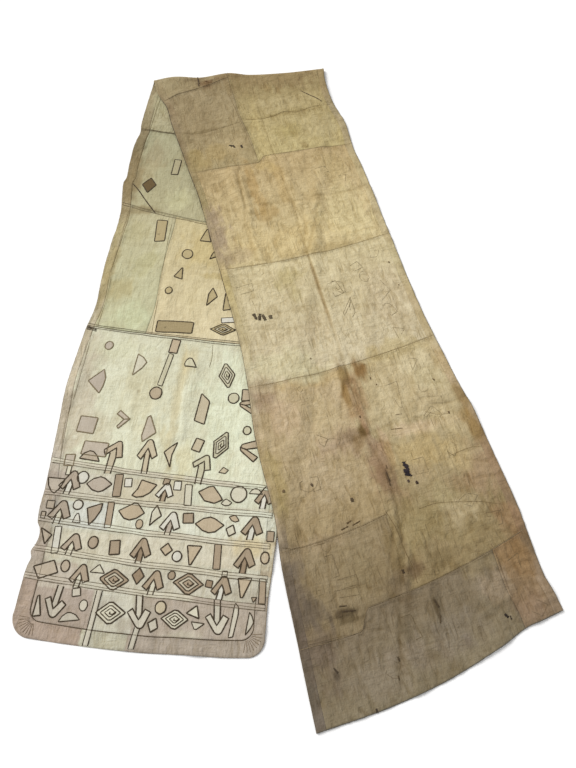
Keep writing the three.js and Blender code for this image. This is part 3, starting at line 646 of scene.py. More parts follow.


# Stains, faded places and some painted shade: where, how far they reach along and across, their colour and
# strength
STAINS = table(
    "along across reach width tint strength",
    # fold and the two pieces at the top of the front arm; the dark places at the fold's top are mostly
    # painted shade under its puffs, partly stains
    (60, 150, 80, 300, "97825a", 0.75), (15, -185, 30, 12, "59442c", 0.5),
    (20, -136, 13, 40, "5f4a30", 0.7), (-6, -190, 16, 60, "75603f", 0.6),
    (28, -150, 32, 44, "7f6340", 0.75), (20, -60, 34, 70, "8a7450", 0.6),
    (40, -300, 40, 60, "a39571", 0.4), (215, 110, 50, 110, "bbab80", 0.6),
    (330, 6, 190, 28, "c0ae7a", 0.65), (140, 135, 28, 24, "846c3f", 0.6),
    (110, 95, 40, 30, "8f7747", 0.5), (489, 163, 26, 22, "8d7746", 0.55),
    (385, 120, 45, 60, "a69459", 0.45), (400, 255, 90, 80, "b9aa80", 0.5),
    (285, 150, 12, 170, "94804f", 0.5), (300, -250, 200, 110, "958361", 0.45),
    (470, -285, 70, 60, "a5925f", 0.6), (450, -200, 60, 90, "b29c6a", 0.6),
    (300, -325, 260, 24, "897555", 0.6), (420, -110, 90, 50, "b09d75", 0.5),
    (305, -230, 12, 100, "86744f", 0.4),
    # tan panel
    (870, -265, 150, 42, "a5927a", 0.8), (560, -265, 50, 55, "a08c62", 0.6),
    (690, -90, 170, 26, "b3935a", 0.55), (660, 15, 120, 26, "b99c63", 0.45),
    (805, -60, 40, 46, "a78a54", 0.6), (774, 125, 46, 50, "af9767", 0.5),
    (880, 210, 150, 110, "d1c293", 0.6), (940, -20, 80, 220, "d5bf8a", 0.5),
    (620, 240, 90, 80, "baa674", 0.4), (980, -230, 40, 60, "a38f70", 0.5),
    (1015, 80, 22, 230, "b19b69", 0.5), (560, -20, 40, 60, "bda467", 0.4),
    # pale panel
    (1120, -70, 60, 50, "b5a570", 0.6), (1190, -60, 40, 30, "b1a270", 0.45),
    (1450, -180, 60, 120, "d2caa4", 0.6), (1250, 250, 170, 90, "c1b08f", 0.5),
    (1210, 24, 190, 8, "a98c5b", 0.55), (1480, 190, 34, 150, "b9a571", 0.6),
    (1230, -270, 180, 24, "b5a67c", 0.5), (1330, -30, 70, 60, "c2b18e", 0.5),
    (1100, 250, 60, 80, "c9bb92", 0.5),
    # left brown panel
    (1560, -265, 60, 60, "a48d74", 0.75), (1640, -220, 80, 50, "c3ac8c", 0.6),
    (1810, -300, 120, 44, "ab985f", 0.5), (1900, -296, 46, 40, "9c8b5e", 0.5),
    (1760, -60, 60, 90, "a8907a", 0.5), (1745, -20, 28, 60, "8a755b", 0.6),
    (1545, 8, 60, 26, "7f6337", 0.9), (1560, 34, 60, 20, "a58560", 0.7),
    (1640, 16, 90, 40, "a88a66", 0.75), (1735, 8, 34, 24, "6f572d", 0.9),
    (1700, 20, 50, 14, "b08e6e", 0.6), (1610, -8, 60, 12, "94763f", 0.6),
    (1830, 26, 70, 46, "977c62", 0.8), (1910, 30, 70, 44, "8b7055", 0.8),
    (1900, 33, 30, 5, "4f3c28", 0.85), (1800, 58, 60, 20, "ab8d6c", 0.6),
    (1960, 60, 50, 30, "a88e6b", 0.5), (1970, -110, 50, 200, "9a8763", 0.6),
    (1990, -270, 60, 60, "8f7c5a", 0.6), (1530, -90, 30, 170, "b39b68", 0.5),
    (1660, -100, 90, 50, "c4b28a", 0.5), (1870, -160, 80, 90, "b19f80", 0.5),
    (2000, -130, 12, 40, "695634", 0.7),
    # right brown panel
    (1530, 60, 46, 26, "8b693a", 0.9), (1640, 180, 110, 110, "cdbd97", 0.6),
    (1765, 190, 24, 160, "ccb694", 0.75), (1850, 170, 66, 120, "bda674", 0.6),
    (1800, 345, 66, 32, "94794b", 0.9), (1760, 330, 30, 20, "8b7040", 0.6),
    (1700, 345, 50, 24, "8d7446", 0.7), (1930, 315, 80, 70, "a2896b", 0.75),
    (2040, 100, 80, 90, "998960", 0.6), (1995, 185, 50, 50, "ac9e75", 0.5),
    (2100, 330, 60, 50, "9a7b5b", 0.6), (1560, 330, 60, 40, "bba67b", 0.5),
    (2090, 200, 60, 80, "8c7b55", 0.5), (1960, 235, 40, 46, "9c8362", 0.5),
    # lower panels and the end
    (2110, -312, 130, 42, "6f6253", 0.75), (2110, -22, 110, 17, "79663f", 0.5),
    (2130, -130, 90, 70, "8d7d5b", 0.4), (2214, -30, 40, 30, "5c4a2e", 0.5),
    (2150, 100, 30, 40, "705f3d", 0.55), (2224, -200, 14, 52, "4f412a", 0.85),
    (2243, -190, 10, 40, "544529", 0.7), (2278, 40, 56, 10, "55462c", 0.85),
    (2370, 92, 30, 14, "6b5e50", 0.6), (2300, -290, 90, 60, "6c5d4f", 0.6),
    (2200, 312, 60, 50, "8e7049", 0.6), (2400, -150, 60, 90, "8a7e6c", 0.5),
    (2340, 60, 60, 90, "84796a", 0.5), (2190, 190, 40, 60, "8f7f5d", 0.5),
    (2330, 300, 40, 60, "8d765f", 0.6), (2300, -60, 90, 20, "655840", 0.5),
    (2360, -265, 14, 10, "453a2b", 0.7),
    # rear arm, end and field
    (-2050, -356, 290, 30, "b9ac9c", 0.6), (-1870, -350, 60, 50, "bdb2a2", 0.7),
    (-1800, -32, 20, 14, "a18f60", 0.7), (-1780, 0, 60, 40, "d3c795", 0.4),
    (-1990, -330, 40, 60, "c2bda9", 0.5), (-2020, 230, 40, 60, "d3c193", 0.6),
    (-1600, -345, 250, 46, "c2b6a0", 0.7), (-1590, -43, 260, 20, "c4b588", 0.45),
    (-1430, -25, 60, 26, "cbbc90", 0.5), (-1610, 130, 210, 110, "dfe4c8", 0.6),
    (-1560, -160, 120, 80, "c9c19d", 0.5), (-1700, -290, 80, 80, "cdc4aa", 0.5),
    (-1400, -250, 40, 100, "d6d6b6", 0.5), (-1680, -110, 60, 50, "d8d3b2", 0.5),
    (-1785, -308, 24, 70, "c8c1b0", 0.5), (-1555, -170, 8, 8, "8d7a52", 0.5),
    (-1690, -70, 60, 20, "c5b889", 0.4),
    # rear arm, middle and top
    (-1060, -362, 210, 26, "b0a071", 0.7), (-900, -300, 60, 60, "b7ae82", 0.5),
    (-1160, -300, 50, 50, "b3a676", 0.6), (-1270, -240, 60, 70, "ccd0aa", 0.7),
    (-1040, -240, 60, 50, "bfba8c", 0.5), (-980, -40, 90, 90, "c5b179", 0.55),
    (-1290, 60, 60, 90, "dfd2ac", 0.6), (-1180, -40, 90, 60, "d6c9a0", 0.4),
    (-1090, 30, 14, 90, "bca970", 0.5), (-620, -352, 160, 36, "92805a", 0.85),
    (-490, -292, 70, 56, "a29776", 0.75), (-740, -160, 60, 70, "c6c298", 0.6),
    (-800, -300, 26, 90, "8f7d55", 0.6), (-500, -178, 120, 16, "9b8a63", 0.6),
    (-590, -300, 60, 50, "a99a74", 0.5), (-170, -320, 90, 40, "b7b38f", 0.6),
    (-120, -290, 60, 30, "b5b898", 0.6),
    # broad paler places of the front arm
    (2040, 205, 50, 64, "b5a582", 0.8), (1890, 262, 48, 60, "c0ad82", 0.75),
    (1745, 262, 60, 60, "c5b48b", 0.7), (2030, -205, 28, 80, "a89576", 0.75),
    (2044, -305, 24, 40, "9a896d", 0.7), (2004, -130, 24, 60, "a08e6e", 0.7),
    (1500, -110, 40, 90, "cdc39d", 0.7), (1512, -262, 36, 50, "bbab8b", 0.7),
    (1476, 224, 50, 80, "c8b990", 0.7), (1545, 256, 50, 60, "ccbe99", 0.7),
    (1610, 272, 56, 54, "cabd97", 0.7), (1693, 241, 50, 60, "c5b591", 0.6),
    (2189, -30, 30, 30, "86765d", 0.7), (2258, 222, 44, 60, "988770", 0.75),
    (2366, -53, 50, 80, "8d806e", 0.6), (1899, 118, 34, 60, "a79472", 0.6),
    # broad darker places of the front arm
    (1772, -17, 34, 26, "8b7450", 0.7), (2205, -275, 44, 60, "665a4b", 0.8),
    (2164, 20, 28, 34, "6a563d", 0.8),
    # greyer and paler places between the motifs of the end
    (-2153, 232, 30, 70, "aca492", 0.6), (-2204, -26, 40, 40, "aaa290", 0.6),
    (-2241, -57, 24, 60, "a69c8a", 0.6), (-2211, -138, 40, 40, "a59c8c", 0.6),
    (-2267, 59, 20, 60, "c6c0aa", 0.6), (-1935, 50, 26, 90, "cfcab4", 0.5),
)

# Cells of other cloth behind the rows of motifs: from and to along and across, and their tint
CELLS = table(
    "from_along to_along from_across to_across tint",
    (-2262, -2152, -400, -180, "b0a293"), (-2275, -2160, -180, -66, "cbc8b6"),
    (-2275, -2168, -66, 300, "b3a797"), (-2160, -2092, -400, -240, "c2b8a7"),
    (-2158, -2100, -240, 300, "c8c3b0"), (-2082, -2006, -400, -340, "b5a99a"),
    (-2080, -2010, -340, 140, "d0cab4"), (-2084, -2016, 140, 300, "cdc5ae"),
    (-1998, -1920, -400, -345, "bdb4a6"), (-1998, -1920, -345, -180, "d0d1c5"),
    (-2000, -1924, -180, 300, "d7d7c3"), (-1908, -1835, -400, -335, "afa396"),
    (-1908, -1835, -335, -180, "cec9b6"), (-1910, -1842, -180, 40, "cec7ae"),
    (-1912, -1846, 40, 300, "d4d5be"),
)
CELL_EDGE = 1.5

# How much of each channel a darker or paler place changes, from stains, mottling and painted shade: darker
# is browner, paler is whiter
DIRT_AND_SHADE_TONE = np.array([0.86, 1.0, 1.3])
STAIN_FADES = (0.4, 1.2)
RAGGED_LAYERS = ((0.3, (46, 30), 11), (0.24, (20, 11), 12), (0.2, (64, 10), 19))
MOTTLE_LAYERS = (
    (0.05, (70, 52), 13), (0.06, (24, 19), 14), (0.055, (90, 12), 15), (0.04, (12, 60), 16),
    (0.04, (10, 10), 18),
)
# The rear arm has weaker mottling and weaker painted crease shade than the front arm
REAR_WEAR_AND_SHADE = 0.6
DARKEST = -0.45


def weathered_and_shaded(along, across, colour):
    """A colour of the cloth at places, with its cells of other cloth, stains, mottling and the painted shade
    of its crease valleys.
    """
    for cell in CELLS:
        inside = (smoothstep(along, cell["from_along"] - CELL_EDGE, cell["from_along"] + CELL_EDGE)
                  * (1 - smoothstep(along, cell["to_along"] - CELL_EDGE, cell["to_along"] + CELL_EDGE))
                  * smoothstep(across, cell["from_across"] - CELL_EDGE, cell["from_across"] + CELL_EDGE)
                  * (1 - smoothstep(across, cell["to_across"] - CELL_EDGE, cell["to_across"] + CELL_EDGE)))
        colour = lerp(colour, linear(cell["tint"]), inside[..., None])
    ragged = lumps(along, across, *RAGGED_LAYERS)
    for stain in STAINS:
        reach = np.hypot((along - stain["along"]) / stain["reach"],
                         (across - stain["across"]) / stain["width"])
        cover = stain["strength"] * (1 - smoothstep(reach + ragged, *STAIN_FADES))
        colour = lerp(colour, linear(stain["tint"]), cover[..., None])
    worn = np.where(along > 0, 1.0, REAR_WEAR_AND_SHADE)
    shade = worn * lumps(along, across, *MOTTLE_LAYERS)
    # the painted shade of the crease valleys darkens the mottled colour further
    shade = np.maximum(shade + worn * looked_up(PAINTED_CREASE_SHADE_GRID, along, across), DARKEST)
    return np.clip(colour * (1 + shade[..., None] * DIRT_AND_SHADE_TONE), 0, 1)


def tint_at(along, across, start, stop, share):
    return weathered_and_shaded(along, across, lerp(linear(start), linear(stop), share[..., None]))


# Meshes

def new_object(name, vertices, faces, material, tints=None, uvs=None, flat_from=None):
    """A piece from its vertices in metres, its faces, and each vertex's tint and place on the cloth."""
    mesh = bpy.data.meshes.new(name)
    mesh.from_pydata(vertices.tolist(), [], faces)
    smooth = np.ones(len(mesh.polygons), bool)
    if flat_from is not None:
        smooth[flat_from:] = False
    mesh.polygons.foreach_set("use_smooth", smooth)
    if tints is not None:
        layer = mesh.color_attributes.new(name="tint", type="FLOAT_COLOR", domain="POINT")
        layer.data.foreach_set("color", np.c_[tints, np.ones(len(tints))].astype(np.float32).ravel())
    if uvs is not None:
        corner_vertex = np.zeros(len(mesh.loops), np.int32)
        mesh.loops.foreach_get("vertex_index", corner_vertex)
        layer = mesh.uv_layers.new(name="cloth_metres")
        layer.data.foreach_set("uv", uvs[corner_vertex].astype(np.float32).ravel())
    mesh.materials.append(material)
    mesh.validate()
    piece = bpy.data.objects.new(name, mesh)
    bpy.context.scene.collection.objects.link(piece)
    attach(piece, "root")
    return piece


ROLLED_HEM = 0.8
SEAM_DIP = 0.7
# The darker band along each hem is seam dirt and painted shade of the seam's groove
SEAM_DIRT_AND_SHADE = 0.26
SEAM_DIRT_AND_SHADE_REACH = 9.0
SEAM_DIRT_AND_SHADE_LAYERS = ((0.5, (26, 26), 8), (0.3, (9, 9), 9))
MOST_SEAM_DIRT_AND_SHADE = 1.2
DEEPEST_SEAM = -1.2
HEM_FROM_EDGE = 3.4
HEM_WIDTH = 1.9
SEAM_WIDTH = 1.2


def seam_profile(distance):
    """The rolled hem along a sheet's edge, which dips to the seam itself."""
    rolled = ROLLED_HEM * np.exp(-((distance - HEM_FROM_EDGE) / HEM_WIDTH) ** 2)
    return rolled - SEAM_DIP * np.exp(-(distance / SEAM_WIDTH) ** 2)


def thin_sheet(name, along, across, side, tints, material, hems):
    """A closed thin sheet over a grid of places on the cloth, with a hem along some of its sides, darkened
    along its hems by seam dirt and painted shade.
    """
    middle = middle_at(along, across)
    row_step = np.gradient(middle, axis=0)
    column_step = np.gradient(middle, axis=1)
    normal = np.cross(row_step, column_step)
    normal /= np.linalg.norm(normal, axis=-1, keepdims=True)
    row_gaps = np.hypot(np.diff(along, axis=0), np.diff(across, axis=0))
    column_gaps = np.hypot(np.diff(along, axis=1), np.diff(across, axis=1))
    down_row = np.cumsum(np.r_[np.zeros((1, along.shape[1])), row_gaps], axis=0)
    down_column = np.cumsum(np.c_[np.zeros(along.shape[0]), column_gaps], axis=1)
    distances = {"first_row": down_row, "last_row": down_row[-1:] - down_row,
                 "first_column": down_column, "last_column": down_column[:, -1:] - down_column}
    swell = sum((seam_profile(distances[hem]) for hem in hems), np.zeros_like(along))
    # seam dirt and painted shade darken the tint near each hem
    seam_dirt_and_shade = sum((np.exp(-(distances[hem] / SEAM_DIRT_AND_SHADE_REACH) ** 2) for hem in hems), np.zeros_like(along))
    seam_dirt_and_shade = seam_dirt_and_shade * (0.5 + lumps(along, across, *SEAM_DIRT_AND_SHADE_LAYERS))
    tints = tints * (1 - SEAM_DIRT_AND_SHADE * np.clip(seam_dirt_and_shade, 0, MOST_SEAM_DIRT_AND_SHADE)).reshape(-1, 1)
    middle = middle + normal * (side * np.maximum(swell, DEEPEST_SEAM))[..., None]
    rows, columns = along.shape
    upper = (middle + normal * THICKNESS / 2).reshape(-1, 3)
    lower = (middle - normal * THICKNESS / 2).reshape(-1, 3)
    count = rows * columns
    index = np.arange(count).reshape(rows, columns)
    corners = (index[:-1, :-1], index[1:, :-1], index[1:, 1:], index[:-1, 1:])
    upper_faces = np.stack(corners, axis=-1).reshape(-1, 4)
    lower_faces = upper_faces[:, [0, 3, 2, 1]] + count
    rim = np.r_[index[:, 0], index[-1, 1:], index[-2::-1, -1], index[0, -2::-1]]
    walls = np.stack([rim[:-1], rim[:-1] + count, rim[1:] + count, rim[1:]], axis=-1)
    faces = upper_faces.tolist() + lower_faces.tolist() + walls.tolist()
    vertices = np.r_[upper, lower] * MM
    uvs = np.c_[across.ravel(), along.ravel()] * MM
    return new_object(name, vertices, faces, material, np.r_[tints, tints], np.r_[uvs, uvs],
                      flat_from=2 * len(upper_faces))


def spaced(length, pitch):
    """Shares from 0 to 1, a pitch apart, closer together near both ends."""
    near = np.array(EDGE_STEPS) / length
    inner = np.linspace(near[-1], 1 - near[-1], max(3, round(length / pitch)))
    return np.r_[near[:-1], inner, 1 - near[-2::-1]]


def rows_between(lines, shares, pitch):
    """Places along the strip, row by row, between lines across it, for shares of the field's width."""
    rows = []
    for start_line, stop_line in zip(lines[:-1], lines[1:]):
        start, stop = line_at(start_line, shares), line_at(stop_line, shares)
        steps = spaced(float(np.median(np.abs(stop - start))), pitch)
        rows += [lerp(start, stop, step) for step in (steps if not rows else steps[1:])]
    return np.array(rows)


def panel_shares(first, last, pitch):
    """Shares of the field's width for a panel between two of its columns."""
    low, high = first / COLUMNS, last / COLUMNS
    return lerp(low, high, spaced((high - low) * FIELD_WIDTH, pitch))


# Materials

def node_group(name, inputs, outputs):
    """An empty shader node group with named value inputs and outputs."""
    group = bpy.data.node_groups.new(name, "ShaderNodeTree")
    for label, kind, value in inputs:
        socket = group.interface.new_socket(name=label, in_out="INPUT", socket_type=kind)
        if value is not None:
            socket.default_value = value
    for label, kind in outputs:
        group.interface.new_socket(name=label, in_out="OUTPUT", socket_type=kind)
    return group, group.nodes.new("NodeGroupInput"), group.nodes.new("NodeGroupOutput")


def math_node(tree, operation, first, second=None, third=None):
    node = tree.nodes.new("ShaderNodeMath")
    node.operation = operation
    for index, value in enumerate((first, second, third)):
        if value is None:
            continue
        if isinstance(value, (int, float)):
            node.inputs[index].default_value = value
        else:
            tree.links.new(value, node.inputs[index])
    return node.outputs[0]


def noise_node(tree, vector, scale, detail, roughness=0.55):
    node = tree.nodes.new("ShaderNodeTexNoise")
    tree.links.new(vector, node.inputs["Vector"])
    node.inputs["Scale"].default_value = scale
    node.inputs["Detail"].default_value = detail
    node.inputs["Roughness"].default_value = roughness
    return node.outputs["Fac"]


def stretched(tree, vector, scale):
    node = tree.nodes.new("ShaderNodeMapping")
    node.inputs["Scale"].default_value = scale
    tree.links.new(vector, node.inputs["Vector"])
    return node.outputs["Vector"]


STRIP_WANDER = 5.0
CROSSING_HEIGHT = 0.35
GAP_POWER = 0.35


def raffia_weave_group():
    """Plain weave: the height of its crossing strips, and a mask of the gaps between them."""
    group, inside, outside = node_group(
        "raffia_weave",
        [("Cloth", "NodeSocketVector", None), ("Strips per metre", "NodeSocketFloat", 420.0)],
        [("Height", "NodeSocketFloat"), ("Gaps", "NodeSocketFloat")],
    )
    wander = noise_node(group, inside.outputs["Cloth"], scale=60.0, detail=2.0)
    wander = math_node(group, "MULTIPLY", math_node(group, "SUBTRACT", wander, 0.5), STRIP_WANDER)
    split = group.nodes.new("ShaderNodeSeparateXYZ")
    group.links.new(inside.outputs["Cloth"], split.inputs[0])
    turns = math_node(group, "MULTIPLY", inside.outputs["Strips per metre"], math.pi)
    waves = []
    for axis in (0, 1):
        angle = math_node(group, "MULTIPLY_ADD", split.outputs[axis], turns, wander)
        waves.append(math_node(group, "SINE", angle))
    crossing = math_node(group, "MULTIPLY", waves[0], waves[1])
    over = math_node(group, "ABSOLUTE", waves[0])
    under = math_node(group, "ABSOLUTE", waves[1])
    strip = math_node(group, "MULTIPLY", over, under)
    height = math_node(group, "MULTIPLY_ADD", crossing, CROSSING_HEIGHT, strip)
    group.links.new(height, outside.inputs["Height"])
    gaps = math_node(group, "SUBTRACT", 1.0, math_node(group, "POWER", strip, GAP_POWER))
    group.links.new(gaps, outside.inputs["Gaps"])
    return group


# How many lumps of each mark there are in a metre, across the strip and along it
LENGTHWISE_FIBRES = (300.0, 16.0, 1.0)
CROSSWISE_FIBRES = (14.0, 280.0, 1.0)
WRINKLES = (40.0, 26.0, 1.0)
CROSSWISE_SHARE = 0.7
# A gain, and the offset that puts the middle of the noise at nothing
FIBRE_CONTRAST = (2.4, -2.04)
LUMP_CONTRAST = (3.0, -1.5)


def raffia_fibre_group():
    """Long pale and dark fibres in both directions of the cloth, a fine grain and larger lumps."""
    group, inside, outside = node_group(
        "raffia_fibre",
        [("Cloth", "NodeSocketVector", None)],
        [("Fibres", "NodeSocketFloat"), ("Grain", "NodeSocketFloat"),
         ("Blotches", "NodeSocketFloat"), ("Wrinkles", "NodeSocketFloat")],
    )
    cloth = inside.outputs["Cloth"]
    lengthwise = noise_node(group, stretched(group, cloth, LENGTHWISE_FIBRES), scale=1.0, detail=3.0)
    crosswise = noise_node(group, stretched(group, cloth, CROSSWISE_FIBRES), scale=1.0, detail=3.0)
    both = math_node(group, "ADD", lengthwise, math_node(group, "MULTIPLY", crosswise, CROSSWISE_SHARE))
    fibres = math_node(group, "MULTIPLY_ADD", both, *FIBRE_CONTRAST)
    group.links.new(fibres, outside.inputs["Fibres"])
    grain = noise_node(group, cloth, scale=190.0, detail=3.0, roughness=0.75)
    grain = math_node(group, "MULTIPLY_ADD", grain, *LUMP_CONTRAST)
    group.links.new(grain, outside.inputs["Grain"])
    blotches = noise_node(group, cloth, scale=48.0, detail=4.0, roughness=0.65)
    blotches = math_node(group, "MULTIPLY_ADD", blotches, *LUMP_CONTRAST)
    group.links.new(blotches, outside.inputs["Blotches"])
    folds = noise_node(group, stretched(group, cloth, WRINKLES), scale=1.0, detail=4.0, roughness=0.6)
    group.links.new(folds, outside.inputs["Wrinkles"])
    return group


PRESENCE_CONTRAST = (5.0, -2.1)
SLANTING_SHARE = 0.8


def thin_lines(tree, vector, scale, sharpness, seed):
    """Meandering lines where a stretched noise passes its middle, which come and go."""
    moved = tree.nodes.new("ShaderNodeVectorMath")
    moved.operation = "ADD"
    moved.inputs[1].default_value = (seed, seed * CROSSWISE_SHARE, 0.0)
    tree.links.new(vector, moved.inputs[0])
    soft = noise_node(tree, stretched(tree, moved.outputs["Vector"], scale), scale=1.0, detail=2.0,
                      roughness=0.5)
    off = math_node(tree, "ABSOLUTE", math_node(tree, "SUBTRACT", soft, 0.5))
    line = math_node(tree, "MULTIPLY_ADD", off, -sharpness, 1.0)
    line = math_node(tree, "MAXIMUM", line, 0.0)
    presence = noise_node(tree, moved.outputs["Vector"], scale=17.0, detail=2.0, roughness=0.6)
    presence = math_node(tree, "MULTIPLY_ADD", presence, *PRESENCE_CONTRAST)
    presence = math_node(tree, "MINIMUM", math_node(tree, "MAXIMUM", presence, 0.0), 1.0)
    return math_node(tree, "MULTIPLY", line, presence)


def raffia_crease_group():
    """The fine creases of handled raffia: mostly along the strip, fewer across it."""
    group, inside, outside = node_group(
        "raffia_creases",
        [("Cloth", "NodeSocketVector", None), ("Crosswise", "NodeSocketFloat", 0.6)],
        [("Creases", "NodeSocketFloat")],
    )
    cloth = inside.outputs["Cloth"]
    lengthwise = thin_lines(group, cloth, scale=(42.0, 7.0, 1.0), sharpness=11.0, seed=3.0)
    slanting = thin_lines(group, cloth, scale=(24.0, 15.0, 1.0), sharpness=15.0, seed=11.0)
    crosswise = thin_lines(group, cloth, scale=(8.0, 38.0, 1.0), sharpness=13.0, seed=7.0)
    slanting = math_node(group, "MULTIPLY", slanting, SLANTING_SHARE)
    both = math_node(group, "MAXIMUM", lengthwise, slanting)
    crosswise = math_node(group, "MULTIPLY", crosswise, inside.outputs["Crosswise"])
    both = math_node(group, "MAXIMUM", both, crosswise)
    group.links.new(both, outside.inputs["Creases"])
    return group


WEAVE = raffia_weave_group()
FIBRE = raffia_fibre_group()
CREASE = raffia_crease_group()


FIBRE_SHINE = -0.07
RAFFIA_SPECULAR = 0.2
RAFFIA_SHEEN = 0.08
SHEEN_ROUGHNESS = 0.5


def raffia_material(name, strips, shares, depths, roughness):
    """Raffia cloth over the piece's own tint. The shares say how much each mark changes the tint, and the
    depths how many millimetres each one goes in. A negative share for Creases or Gaps is painted shade in
    the creases and between the strips."""
    material = bpy.data.materials.new(name)
    material.use_nodes = True
    tree = material.node_tree
    shader = tree.nodes["Principled BSDF"]
    place = tree.nodes.new("ShaderNodeUVMap")
    place.uv_map = "cloth_metres"
    tint = tree.nodes.new("ShaderNodeAttribute")
    tint.attribute_name = "tint"
    marks = {}
    for group in (WEAVE, FIBRE, CREASE):
        node = tree.nodes.new("ShaderNodeGroup")
        node.node_tree = group
        tree.links.new(place.outputs["UV"], node.inputs["Cloth"])
        marks.update({socket.name: socket for socket in node.outputs})
        if group == WEAVE:
            node.inputs["Strips per metre"].default_value = strips
    shade, height = 0.0, 0.0
    for mark, share in shares.items():
        shade = math_node(tree, "MULTIPLY_ADD", marks[mark], share, shade)
    for mark, depth in depths.items():
        height = math_node(tree, "MULTIPLY_ADD", marks[mark], depth, height)
    toned = tree.nodes.new("ShaderNodeVectorMath")
    toned.operation = "MULTIPLY_ADD"
    tree.links.new(shade, toned.inputs[0])
    toned.inputs[1].default_value = tuple(DIRT_AND_SHADE_TONE)
    toned.inputs[2].default_value = (1.0, 1.0, 1.0)
    colour = tree.nodes.new("ShaderNodeVectorMath")
    colour.operation = "MULTIPLY"
    tree.links.new(tint.outputs["Color"], colour.inputs[0])
    tree.links.new(toned.outputs["Vector"], colour.inputs[1])
    tree.links.new(colour.outputs["Vector"], shader.inputs["Base Color"])
    bump = tree.nodes.new("ShaderNodeBump")
    bump.inputs["Strength"].default_value = 1.0
    bump.inputs["Distance"].default_value = MM
    tree.links.new(height, bump.inputs["Height"])
    tree.links.new(bump.outputs["Normal"], shader.inputs["Normal"])
    rough = math_node(tree, "MULTIPLY_ADD", marks["Fibres"], FIBRE_SHINE, roughness)
    tree.links.new(rough, shader.inputs["Roughness"])
    shader.inputs["Specular IOR Level"].default_value = RAFFIA_SPECULAR
    shader.inputs["Sheen Weight"].default_value = RAFFIA_SHEEN
    shader.inputs["Sheen Roughness"].default_value = SHEEN_ROUGHNESS
    return material


# In each raffia material, the Creases and Gaps shares darken the tint: painted shade in the fine creases and
# between the woven strips
WORKED_RAFFIA = raffia_material(
    "worked_raffia", strips=420,
    shares={"Fibres": 0.10, "Grain": 0.10, "Blotches": 0.06, "Creases": -0.15, "Gaps": -0.06},
    depths={"Height": 0.25, "Fibres": 0.2, "Wrinkles": 4.5, "Creases": -0.8, "Blotches": 0.8},
    roughness=0.84,
)
REVERSE_RAFFIA = raffia_material(
    "reverse_raffia", strips=420,
    shares={"Fibres": 0.11, "Grain": 0.12, "Blotches": 0.08, "Creases": -0.27, "Gaps": -0.07},
    depths={"Height": 0.3, "Fibres": 0.22, "Wrinkles": 7.0, "Creases": -1.4, "Blotches": 1.3},
    roughness=0.86,
)
BORDER_RAFFIA = raffia_material(
    "border_raffia", strips=480,
    shares={"Fibres": 0.11, "Grain": 0.12, "Blotches": 0.08, "Creases": -0.22, "Gaps": -0.07},
    depths={"Height": 0.3, "Fibres": 0.22, "Wrinkles": 6.0, "Creases": -1.1, "Blotches": 1.1},
    roughness=0.86,
)
APPLIED_RAFFIA = raffia_material(
    "applied_raffia", strips=560,
    shares={"Fibres": 0.10, "Grain": 0.09, "Blotches": 0.05, "Gaps": -0.14},
    depths={"Height": 0.26, "Fibres": 0.16, "Wrinkles": 1.6},
    roughness=0.82,
)
STITCH_RAFFIA = raffia_material(
    "stitch_raffia", strips=900,
    shares={"Fibres": 0.18, "Grain": 0.20, "Gaps": -0.10},
    depths={"Height": 0.30, "Fibres": 0.2},
    roughness=0.78,
)


# Cloth pieces

cloth_pieces = {}
HELD = {-1: "laid", 1: "folded"}
RESTS_ON = ["floor"]
# The two brown panels meet in this column without a hem
UNSEEN_SEAM_COLUMN = 10


def declare_cloth(piece, node, along, across, held):
    """Hides the solid that a sheet stands for, and keeps the flat size that it was cut to."""
    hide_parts(node)
    row_area = np.abs(np.diff(along, axis=0))[:, :-1] * np.abs(np.diff(across, axis=1))[:-1]
    width = float(np.ptp(across, axis=1).max()) * MM
    length = float(np.ptp(along, axis=0).max()) * MM
    area = min(float(row_area.sum()) * MM * MM, width * length)
    cloth_pieces[piece.name] = {
        "piece": piece, "flat": (width, length), "area": area, "held": held, "rests_on": RESTS_ON,
        "with_pieces": [],
    }


for panel in PANELS:
    node = panel["node"]
    rear = node.startswith("rear")
    side = -1 if rear else 1
    pitch = REAR_PITCH if rear else FRONT_PITCH
    first, last = panel["columns"]
    shares = panel_shares(first, last, pitch)
    if panel["lines"][0] == "binding":
        shares = binding_shares()
    along = rows_between(panel["lines"], shares, pitch)
    across = across_at(along, np.broadcast_to(shares, along.shape))
    share = (along - along[:1]) / (along[-1:] - along[:1])
    tints = tint_at(along, across, *panel["tints"], share).reshape(-1, 3)
    hems = ["first_row", "last_row"]
    if rear or first not in (0, UNSEEN_SEAM_COLUMN):
        hems.append("first_column")
    if rear or last not in (COLUMNS, UNSEEN_SEAM_COLUMN):
        hems.append("last_column")
    sheet = thin_sheet(node.replace("_panel", "") + "_cloth", along, across, side, tints,
                       WORKED_RAFFIA if rear else REVERSE_RAFFIA, hems)
    declare_cloth(sheet, node, along, across, HELD[side])

BORDER_STEPS = np.array([0.0, 0.06, 0.13, 0.25, 0.42, 0.58, 0.75, 0.87, 0.94, 1.0])
for border in SIDE_BORDERS:
    steps = BORDER_SHARE * BORDER_STEPS
    shares = steps - BORDER_SHARE if border["edge"] == "left" else 1 + steps
    rear = border["side"] < 0
    along = rows_between(border["lines"], shares, REAR_PITCH if rear else FRONT_PITCH)
    across = across_at(along, np.broadcast_to(shares, along.shape))
    stops = [row["along"] for row in BORDER_TINTS]
    colours = np.array([linear(row[border["edge"]]) for row in BORDER_TINTS])
    base = np.stack([np.interp(along, stops, colours[:, channel]) for channel in range(3)], axis=-1)
    tints = weathered_and_shaded(along, across, base).reshape(-1, 3)
    free = "first_column" if border["edge"] == "left" else "last_column"
    sheet = thin_sheet(border["piece"], along, across, border["side"], tints, BORDER_RAFFIA,
                       ("first_column", "last_column") if rear else (free,))
    declare_cloth(sheet, border["node"], along, across, HELD[border["side"]])


